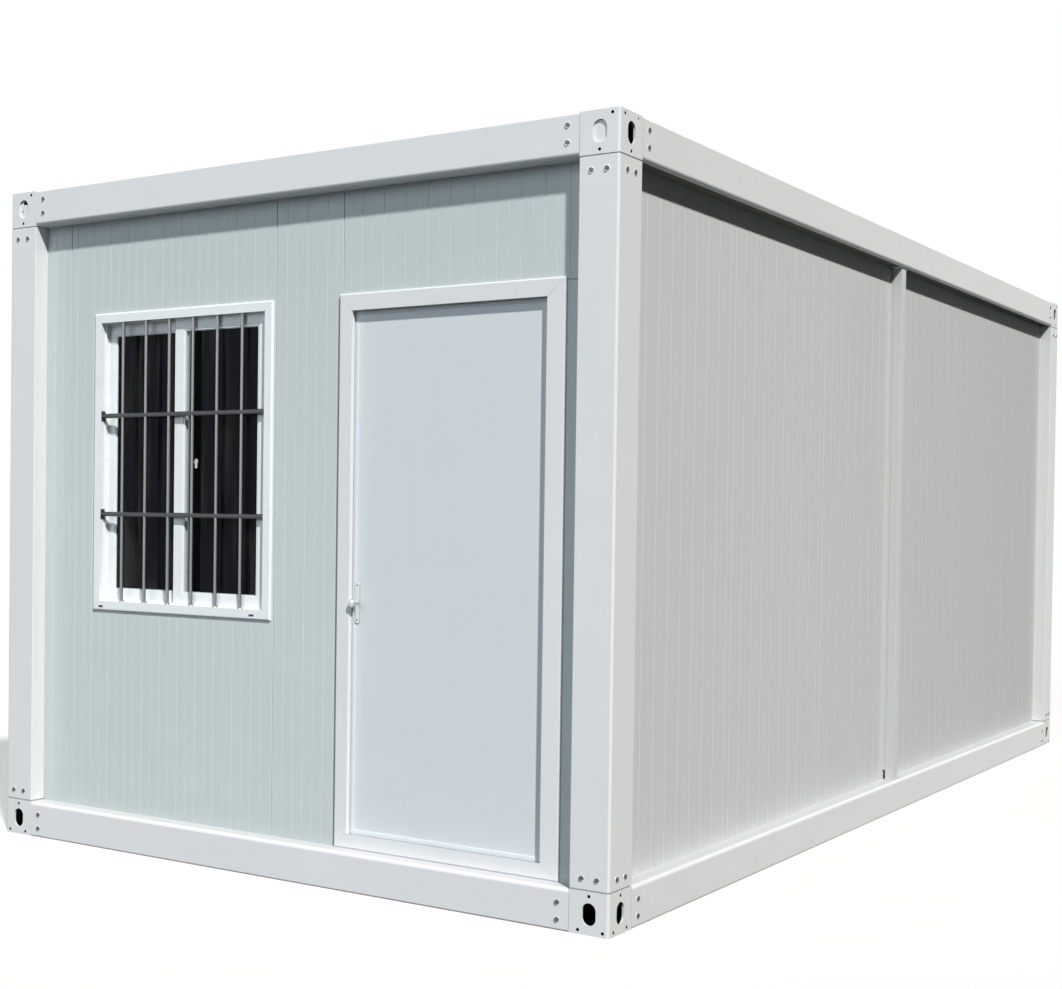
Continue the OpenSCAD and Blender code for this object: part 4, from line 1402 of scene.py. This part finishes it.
class HOUSE_OT_window_frame(bpy.types.Operator):
    """The fixed frame of the window with its tracks and drain caps"""

    bl_idname = "house.window_frame"
    bl_label = "Window Frame"

    def execute(self, context):
        low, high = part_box("window_frame")
        clear_low, clear_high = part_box("window_grille")
        outer_low, outer_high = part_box("window_sash_right")
        inner_low, inner_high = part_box("window_sash_left")
        bm = merged_copy("window_frame")
        cuts = bmesh.new()
        add_mitre_cuts(cuts, (low, high), (clear_low, clear_high), low.y)
        round_edges(bm, rim_edges(bm, low, high), context.scene.house_sizes.trim_round, 5)
        put_piece(
            "window_outer_frame", bm, ("window_plastic",), ["window_frame"],
            carved=cuts, edge=0.0022, steps=3,
        )
        tracks = bmesh.new()
        fins = (
            (outer_low.y - OUTER_TRACK[0], outer_low.y - OUTER_TRACK[1], TRACK_H),
            (outer_high.y + SASH_PLAY, inner_low.y - SASH_PLAY, MIDDLE_TRACK_H),
            (inner_high.y + INNER_TRACK[0], inner_high.y + INNER_TRACK[1], TRACK_H),
        )
        for front, back, tall in fins:
            near = (clear_low.x - TRACK_LAP, front, clear_low.z - TRACK_LAP)
            far = (clear_high.x + TRACK_LAP, back, clear_high.z + TRACK_LAP)
            add_ring(tracks, near, far, tall)
        put_piece("window_tracks", tracks, ("window_plastic",), edge=0.0005, steps=1)
        caps = bmesh.new()
        for x in (low.x + CAP_LEFT, high.x - CAP_RIGHT):
            near = (x - CAP_HALF_W, low.y - CAP_OUT, low.z + CAP_FOOT)
            far = (x + CAP_HALF_W, low.y + CAP_SINK, low.z + CAP_HEAD)
            round_edges(caps, edges_along(add_slab(caps, near, far), 1), CAP_ROUND, 5)
        put_piece("window_drain_caps", caps, ("rubber",), edge=0.0005, steps=1)
        return {"FINISHED"}


BEAD_SET_BACK = 0.002  # of the glazing beads from the faces of their sash
PANE_SEAL_T = 0.0025
PANE_SEAL_W = 0.003
STRIP_SHORT = 0.02  # by which the strips between the sashes end before them
INTERLOCK_HALF_W = 0.004
GASKET_SINK = 0.003  # of the right pane's gasket behind the face of its sash
# Places of the gaskets beside the meeting stile, from the right pane's edge and the left sash's end.
OUTER_GASKET = (-0.0015, 0.008)
INNER_GASKET = (0.003, 0.009)
INNER_GASKET_GAP = 0.0008
TOUCH = 0.0002  # gap of pieces that lie on each other


class HOUSE_OT_window_sashes(bpy.types.Operator):
    """Two sliding sashes with glazing beads and seals"""

    bl_idname = "house.window_sashes"
    bl_label = "Window Sashes"

    def execute(self, context):
        bead = context.scene.house_sizes.bead_w
        glass = sorted(solids("window_glass"), key=lambda box: box[0].x)
        seals = bmesh.new()
        for node, (pane_low, pane_high) in zip(("window_sash_left", "window_sash_right"), glass):
            low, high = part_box(node)
            bm = merged_copy(node)
            near = Vector((pane_low.x + GLASS_SEAT, 0, pane_low.z + GLASS_SEAT))
            far = Vector((pane_high.x - GLASS_SEAT, 0, pane_high.z - GLASS_SEAT))
            outside = low.y + BEAD_SET_BACK, pane_low.y, -PANE_SEAL_T
            inside = high.y - BEAD_SET_BACK, pane_high.y, PANE_SEAL_T
            for face, pane, seal in (outside, inside):
                add_ring(bm, (near.x, face, near.z), (far.x, pane, far.z), bead)
                rim = (near.x + bead, pane, near.z + bead), (far.x - bead, pane + seal, far.z - bead)
                add_ring(seals, *rim, PANE_SEAL_W)
            put_piece(node + "_bars", bm, ("window_plastic",), [node], edge=0.0014)
        left_low, left_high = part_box("window_sash_left")
        right_low, right_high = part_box("window_sash_right")
        pane_low, pane_high = glass[1]
        edge = pane_low.x + GLASS_SEAT
        middle = (left_high.x + right_low.x) / 2
        # The grey strips beside the meeting stile are painted shade for the stile in shade behind the glass.
        add_slab(
            seals, (edge + OUTER_GASKET[0], right_low.y + GASKET_SINK, pane_low.z + GLASS_SEAT),
            (edge + OUTER_GASKET[1], pane_low.y - TOUCH, pane_high.z - GLASS_SEAT),
        )
        add_slab(
            seals, (edge + INNER_GASKET[0], pane_high.y + INNER_GASKET_GAP, left_low.z + STRIP_SHORT),
            (left_high.x + INNER_GASKET[1], left_low.y - TOUCH, left_high.z - STRIP_SHORT),
        )
        add_slab(
            seals, (middle - INTERLOCK_HALF_W, right_high.y + TOUCH, right_low.z + STRIP_SHORT),
            (middle + INTERLOCK_HALF_W, left_low.y - TOUCH, right_high.z - STRIP_SHORT),
        )
        put_piece("window_seals", seals, ("glazing_gasket",), edge=0.0005, steps=1)
        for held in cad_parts["window_glass"].material_slots:
            held.material = finish_named("window_glass")
        return {"FINISHED"}


BARS = 6
BAR_PITCH = 0.132
BAR_R = 0.007
BAR_SHIFT = -0.0045  # of the upright bars from the middle of the window
BAR_FLANGE_R = 0.012
BAR_FLANGE_TIP = 0.0105
RAIL_HALF_PITCH = 0.208
RAIL_SHIFT = -0.012
RAIL_PLATE_T = 0.003  # also the height of the upright bars' flanges
RAIL_PLATE_HALF_W = 0.0105
RAIL_PLATE_HALF_H = 0.021
RAIL_SCREW = 0.0155


class HOUSE_OT_window_grille(bpy.types.Operator):
    """Round bars in front of the window, the upright ones through the level ones"""

    bl_idname = "house.window_grille"
    bl_label = "Window Bars"

    def execute(self, context):
        size = context.scene.house_sizes
        low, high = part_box("window_grille")
        middle = (low + high) / 2
        y = middle.y
        bm = bmesh.new()
        for i in range(BARS):
            x = middle.x + BAR_SHIFT + (i - (BARS - 1) / 2) * BAR_PITCH
            add_rod(bm, (x, y, low.z), (x, y, high.z), BAR_R, 28)
            for level, step in ((low.z, RAIL_PLATE_T), (high.z, -RAIL_PLATE_T)):
                add_rod(bm, (x, y, level), (x, y, level + step), BAR_FLANGE_R, 24, BAR_FLANGE_TIP)
        screws = bmesh.new()
        for step in (-RAIL_HALF_PITCH, RAIL_HALF_PITCH):
            z = middle.z + RAIL_SHIFT + step
            # The level bars take the darker copy of the steel: painted shade.
            add_rod(bm, (low.x, y, z), (high.x, y, z), (high.y - low.y) / 2, 32, worn=1)
            for place, end in ((low.x, 1), (high.x, -1)):
                face = place + end * RAIL_PLATE_T
                near = (place, y - RAIL_PLATE_HALF_W, z - RAIL_PLATE_HALF_H)
                add_slab(bm, near, (face, y + RAIL_PLATE_HALF_W, z + RAIL_PLATE_HALF_H), 1)
                for level in (z - RAIL_SCREW, z + RAIL_SCREW):
                    add_screw(screws, Vector((face, y, level)), (end, 0, 0), size.screw_d * SMALL_SCREW)
        put_piece(
            "window_bars", bm, ("upright_steel", "level_steel"), ["window_grille"],
            edge=0.0006, steps=1,
        )
        put_piece("window_bar_screws", screws, ("bolt_steel",))
        return {"FINISHED"}


LATCH_SCREW = 0.010  # from either end of the latch
LATCH_SCREW_X = 0.011
LATCH_SCREW_Y = 0.008
GRIP_R = 0.0055
GRIP_LEAN = 0.003
GRIP_FOOT = 0.010
GRIP_HEAD = 0.022
GRIP_PLACE = (0.006, 0.004)  # from the right and the inner end of the latch


class HOUSE_OT_window_latch(bpy.types.Operator):
    """Crescent latch inside the meeting stile"""

    bl_idname = "house.window_latch"
    bl_label = "Window Latch"

    def execute(self, context):
        size = context.scene.house_sizes
        low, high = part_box("window_latch")
        bm = merged_copy("window_latch")
        for level in (low.z + LATCH_SCREW, high.z - LATCH_SCREW):
            point = Vector((low.x + LATCH_SCREW_X, low.y + LATCH_SCREW_Y, level))
            add_screw(bm, point, (0, 1, 0), size.screw_d * SMALL_SCREW, 1)
        x, y = high.x - GRIP_PLACE[0], high.y - GRIP_PLACE[1]
        add_rod(bm, (x - GRIP_LEAN, y, low.z + GRIP_FOOT), (x, y, high.z - GRIP_HEAD), GRIP_R, 20)
        put_piece(
            "window_latch_lever", bm, ("window_plastic", "bolt_steel"), ["window_latch"],
            edge=0.0015, steps=3,
        )
        return {"FINISHED"}


SEAL_INSET = 0.001  # of the door seal from the edges of the leaf
SEAL_DEPTH = 0.005
SEAL_TOUCH = 0.0006
# A grey bead along the left jamb: painted shadow of the jamb on the wall.
JAMB_SHADOW_HALF_W = 0.009
JAMB_SHADOW_T = 0.0035
JAMB_SHADOW_SINK = 0.001
JAMB_SHADOW_ROUND = 0.003
JAMB_SHADOW_FOOT = 0.002
JAMB_SHADOW_HEAD = 0.014
THRESHOLD_T = 0.0012
THRESHOLD_INSET = (0.001, 0.003, 0.006)  # from the jambs, from the front and from the leaf
STRIKE_HALF_H = 0.055
STRIKE_SINK = 0.0005
STRIKE_T = 0.0012
STRIKE_INSET = (0.010, 0.004)  # behind the leaf's outer face and before its inner one
JAMB_GAP = 0.007  # from the edge of the leaf to the jamb


class HOUSE_OT_door_frame(bpy.types.Operator):
    """Pressed steel door frame with its seal, a grey bead as painted shadow beside the left jamb, strike
    plate and threshold
    """

    bl_idname = "house.door_frame"
    bl_label = "Door Frame"

    def execute(self, context):
        size = context.scene.house_sizes
        low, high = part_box("door_frame")
        leaf_low, leaf_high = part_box("door_leaf")
        lap = Vector((STOP_LAP, 0, STOP_LAP))
        stop_low, stop_high = leaf_low + lap, leaf_high - lap
        cuts = bmesh.new()
        add_mitre_cuts(cuts, (low, high), (stop_low, stop_high), low.y)
        bm = merged_copy("door_frame")
        round_edges(bm, rim_edges(bm, low, high), size.trim_round, 5)
        put_piece(
            "door_outer_frame", bm, ("frame_paint",), ["door_frame"],
            carved=cuts, edge=0.002, steps=3,
        )
        seal = bmesh.new()
        near = leaf_low + Vector((SEAL_INSET, -SEAL_DEPTH, SEAL_INSET))
        far = (leaf_high.x - SEAL_INSET, leaf_low.y - SEAL_TOUCH, leaf_high.z - SEAL_INSET)
        add_ring(seal, near, far, size.seal_w)
        put_piece("door_seal", seal, ("pale_rubber",), edge=0.001)
        # Painted shadow: a mid-grey bead where the jamb's shadow falls on the wall.
        bead = bmesh.new()
        wall_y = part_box("wall_over_door")[0].y
        front = wall_y - JAMB_SHADOW_T
        near = (low.x - JAMB_SHADOW_HALF_W, front, low.z + JAMB_SHADOW_FOOT)
        far = (low.x + JAMB_SHADOW_HALF_W, wall_y + JAMB_SHADOW_SINK, high.z - JAMB_SHADOW_HEAD)
        round_edges(bead, edges_at(add_slab(bead, near, far), 2, y=front), JAMB_SHADOW_ROUND, 3)
        put_piece("door_sealant", bead, ("sealant",))
        plates = bmesh.new()
        beside, front, back = THRESHOLD_INSET
        near = (stop_low.x + beside, low.y + front, stop_low.z)
        add_slab(plates, near, (stop_high.x - beside, leaf_low.y - back, stop_low.z + THRESHOLD_T))
        level = sum(corner.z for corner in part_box("door_knob")) / 2
        jamb = leaf_low.x - JAMB_GAP
        front, back = leaf_low.y + STRIKE_INSET[0], leaf_high.y - STRIKE_INSET[1]
        near = (jamb - STRIKE_SINK, front, level - STRIKE_HALF_H)
        add_slab(plates, near, (jamb + STRIKE_T, back, level + STRIKE_HALF_H))
        put_piece("door_frame_plates", plates, ("hardware_steel",), edge=0.0004, steps=1)
        return {"FINISHED"}


BORDER_SLOPE = 0.004  # width of the slope beside the raised border
BORE_ROOM = 0.003  # round the neck of the knob, in the leaf
BORE_END = 0.05


def knob_bore(radius):
    """A round hole through the leaf at the knob."""
    low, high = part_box("door_leaf")
    knob_low, knob_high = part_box("door_knob")
    x, _, z = (knob_low + knob_high) / 2
    bore = bmesh.new()
    add_rod(bore, (x, low.y - BORE_END, z), (x, high.y + BORE_END, z), radius, 32)
    return bore


class HOUSE_OT_door_leaf(bpy.types.Operator):
    """Flat steel leaf with a raised border on both faces"""

    bl_idname = "house.door_leaf"
    bl_label = "Door Leaf"

    def execute(self, context):
        size = context.scene.house_sizes
        bm = bmesh.new()
        add_slab(bm, *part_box("door_leaf"))
        bm.normal_update()
        for face in [face for face in bm.faces if abs(face.normal.y) > 0.9]:
            for wide, sunk in ((size.border_w, 0.0), (BORDER_SLOPE, -size.border_step)):
                bmesh.ops.inset_region(bm, faces=[face], thickness=wide, depth=sunk, use_even_offset=True)
        put_piece(
            "door_leaf_faces", bm, ("leaf_paint",), ["door_leaf"], body="door",
            carved=knob_bore(size.neck_d / 2 + BORE_ROOM), edge=0.0012, crease=20.0,
        )
        return {"FINISHED"}


HINGE_SCREW = 0.033  # from the knuckle's side of a plate
HINGE_SCREW_Y = 0.0028
HINGE_SCREW_HEIGHTS = (0.18, 0.5, 0.82)  # as shares of a plate's height


class HOUSE_OT_door_hinges(bpy.types.Operator):
    """Three butt hinges, half on the jamb and half on the leaf"""

    bl_idname = "house.door_hinges"
    bl_label = "Door Hinges"

    def execute(self, context):
        size = context.scene.house_sizes
        for node, body in (("hinge_jamb_plates", "house"), ("hinge_leaf_plates", "door")):
            bm = merged_copy(node)
            for low, high in solids(node):
                x = low.x + HINGE_SCREW if body == "house" else high.x - HINGE_SCREW
                for share in HINGE_SCREW_HEIGHTS:
                    point = Vector((x, low.y + HINGE_SCREW_Y, low.z + share * (high.z - low.z)))
                    add_screw(bm, point, (0, 1, 0), size.screw_d, 1)
            finishes = ("hardware_steel", "bolt_steel")
            put_piece(node + "_steel", bm, finishes, [node], body=body, edge=0.0006)
        return {"FINISHED"}


LOCK_ROUND = 0.009
LOCK_SCREW = 0.012  # from either end of a plate
KNOB_SINK = -0.004  # height at which the neck starts, as a share of the knob's
KEY_SLOT_HALF_W = 0.0012
KEY_SLOT_HALF_H = 0.005
KEY_SLOT_OUT = 0.0004
KEY_SLOT_SINK = 0.001
# Half the outline of a knob: distances from its axis as shares of its radius, and heights as
# shares of its own.
KNOB_OUTLINE = (
    (0.64, 0.535), (0.84, 0.575), (0.95, 0.64), (1.0, 0.73), (0.985, 0.82),
    (0.90, 0.905), (0.74, 0.965), (0.50, 0.993), (0.22, 1.0), (0.0, 1.0),
)


class HOUSE_OT_door_lock(bpy.types.Operator):
    """Slim lock plates, and the knob on both sides with its key slot outside"""

    bl_idname = "house.door_lock"
    bl_label = "Door Lock And Knob"

    def execute(self, context):
        size = context.scene.house_sizes
        knob_low, knob_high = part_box("door_knob")
        x, y, z = (knob_low + knob_high) / 2
        leaf_low, leaf_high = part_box("door_leaf")
        bm = bmesh.new()
        for low, high in solids("lock_plates"):
            face, outward = (low.y, -1) if low.y < y else (high.y, 1)
            round_edges(bm, edges_along(add_slab(bm, low, high), 1), LOCK_ROUND, 6)
            for level in (low.z + LOCK_SCREW, high.z - LOCK_SCREW):
                add_screw(bm, Vector((x, face, level)), (0, outward, 0), size.screw_d * SMALL_SCREW, 1)
        put_piece(
            "lock_plates_steel", bm, ("hardware_steel", "bolt_steel"), ["lock_plates"],
            body="door", carved=knob_bore(size.neck_d / 2 + TOUCH), edge=0.0006,
        )
        turned = bmesh.new()
        radius = size.knob_d / 2
        neck = size.neck_d / size.knob_d
        out = knob_high.y - leaf_high.y
        foot = ((0.0, KNOB_SINK), (neck, KNOB_SINK), (neck, 0.45), (neck + 0.02, 0.50))
        profile = [(across * radius, up * out) for across, up in foot + KNOB_OUTLINE]
        for face, outward in ((leaf_low.y, -1), (leaf_high.y, 1)):
            add_turned(turned, profile, Vector((x, face, z)), (0, outward, 0), 56)
        add_rod(turned, (x, leaf_low.y, z), (x, leaf_high.y, z), size.neck_d / 2, 40)
        # The key slot is a dark steel slab: painted shade for the slot's opening.
        near = (x - KEY_SLOT_HALF_W, knob_low.y - KEY_SLOT_OUT, z - KEY_SLOT_HALF_H)
        add_slab(turned, near, (x + KEY_SLOT_HALF_W, knob_low.y + KEY_SLOT_SINK, z + KEY_SLOT_HALF_H), 1)
        put_piece(
            "door_knob_turned", turned, ("hardware_steel", "bolt_steel"), ["door_knob"],
            body="knob",
        )
        return {"FINISHED"}


CAMERA_PLACE = (4.07255, -7.80062, 1.44174)
CAMERA_TURNS = ((34.045, "Z"), (88.972, "X"), (0.729, "Z"))  # in degrees, from the outermost in
LENS_MM = 54.88
SENSOR_MM = 36.0
LENS_SHIFT = (0.08133, 0.04206)


class HOUSE_OT_stage(bpy.types.Operator):
    """Ground, light and camera"""

    bl_idname = "house.stage"
    bl_label = "Stage"

    def execute(self, context):
        scene = context.scene
        bm = bmesh.new()
        bmesh.ops.create_grid(bm, x_segments=1, y_segments=1, size=scene.house_sizes.ground)
        floor = object_of("ground", bm)
        floor.data.materials.append(finish_named("ground"))

        for name, toward, strength, spread, colour in LAMPS:
            light = bpy.data.lights.new(name, "SUN")
            light.energy = strength
            light.angle = math.radians(spread)
            light.color = colour
            lamp = bpy.data.objects.new(name, light)
            lamp.rotation_euler = Vector(toward).to_track_quat("Z", "Y").to_euler()
            scene.collection.objects.link(lamp)

        scene.world = studio_world()

        lens = bpy.data.cameras.new("camera")
        lens.sensor_fit = "HORIZONTAL"
        lens.sensor_width = SENSOR_MM
        lens.lens = LENS_MM
        lens.shift_x, lens.shift_y = LENS_SHIFT
        lens.clip_end = 500.0
        camera = bpy.data.objects.new("camera", lens)
        place = Matrix.Translation(CAMERA_PLACE)
        for degrees, axis in CAMERA_TURNS:
            place = place @ Matrix.Rotation(math.radians(degrees), 4, axis)
        camera.matrix_world = place
        scene.collection.objects.link(camera)
        scene.camera = camera
        scene.view_settings.view_transform = "Standard"
        return {"FINISHED"}


STEPS = (
    HOUSE_OT_corner_blocks,
    HOUSE_OT_posts,
    HOUSE_OT_beams,
    HOUSE_OT_frame_bolts,
    HOUSE_OT_middle_columns,
    HOUSE_OT_floor,
    HOUSE_OT_roof,
    HOUSE_OT_ceiling,
    HOUSE_OT_front_wall,
    HOUSE_OT_rear_wall,
    HOUSE_OT_long_walls,
    HOUSE_OT_window_frame,
    HOUSE_OT_window_sashes,
    HOUSE_OT_window_grille,
    HOUSE_OT_window_latch,
    HOUSE_OT_door_frame,
    HOUSE_OT_door_leaf,
    HOUSE_OT_door_hinges,
    HOUSE_OT_door_lock,
    HOUSE_OT_stage,
)


class HOUSE_PT_steps(bpy.types.Panel):
    """The steps, sizes and colours of the container house"""

    bl_idname = "HOUSE_PT_steps"
    bl_label = "Container House"
    bl_space_type = "VIEW_3D"
    bl_region_type = "UI"
    bl_category = "Container House"

    def draw(self, context):
        for step in STEPS:
            self.layout.operator(step.bl_idname)
        for group in (context.scene.house_sizes, context.scene.house_colours):
            column = self.layout.column()
            for name in group.bl_rna.properties.keys():
                if name not in ("rna_type", "name"):
                    column.prop(group, name)


def register():
    for kind in (HouseSizes, HouseColours, *STEPS, HOUSE_PT_steps):
        bpy.utils.register_class(kind)
    bpy.types.Scene.house_sizes = PointerProperty(type=HouseSizes)
    bpy.types.Scene.house_colours = PointerProperty(type=HouseColours)


def unregister():
    del bpy.types.Scene.house_colours
    del bpy.types.Scene.house_sizes
    for kind in reversed((HouseSizes, HouseColours, *STEPS, HOUSE_PT_steps)):
        bpy.utils.unregister_class(kind)


def main():
    register()
    bpy.ops.house.corner_blocks()
    bpy.ops.house.posts()
    bpy.ops.house.beams()
    bpy.ops.house.frame_bolts()
    bpy.ops.house.middle_columns()
    bpy.ops.house.floor()
    bpy.ops.house.roof()
    bpy.ops.house.ceiling()
    bpy.ops.house.front_wall()
    bpy.ops.house.rear_wall()
    bpy.ops.house.long_walls()
    bpy.ops.house.window_frame()
    bpy.ops.house.window_sashes()
    bpy.ops.house.window_grille()
    bpy.ops.house.window_latch()
    bpy.ops.house.door_frame()
    bpy.ops.house.door_leaf()
    bpy.ops.house.door_hinges()
    bpy.ops.house.door_lock()
    bpy.ops.house.stage()


if __name__ == "__main__":
    main()
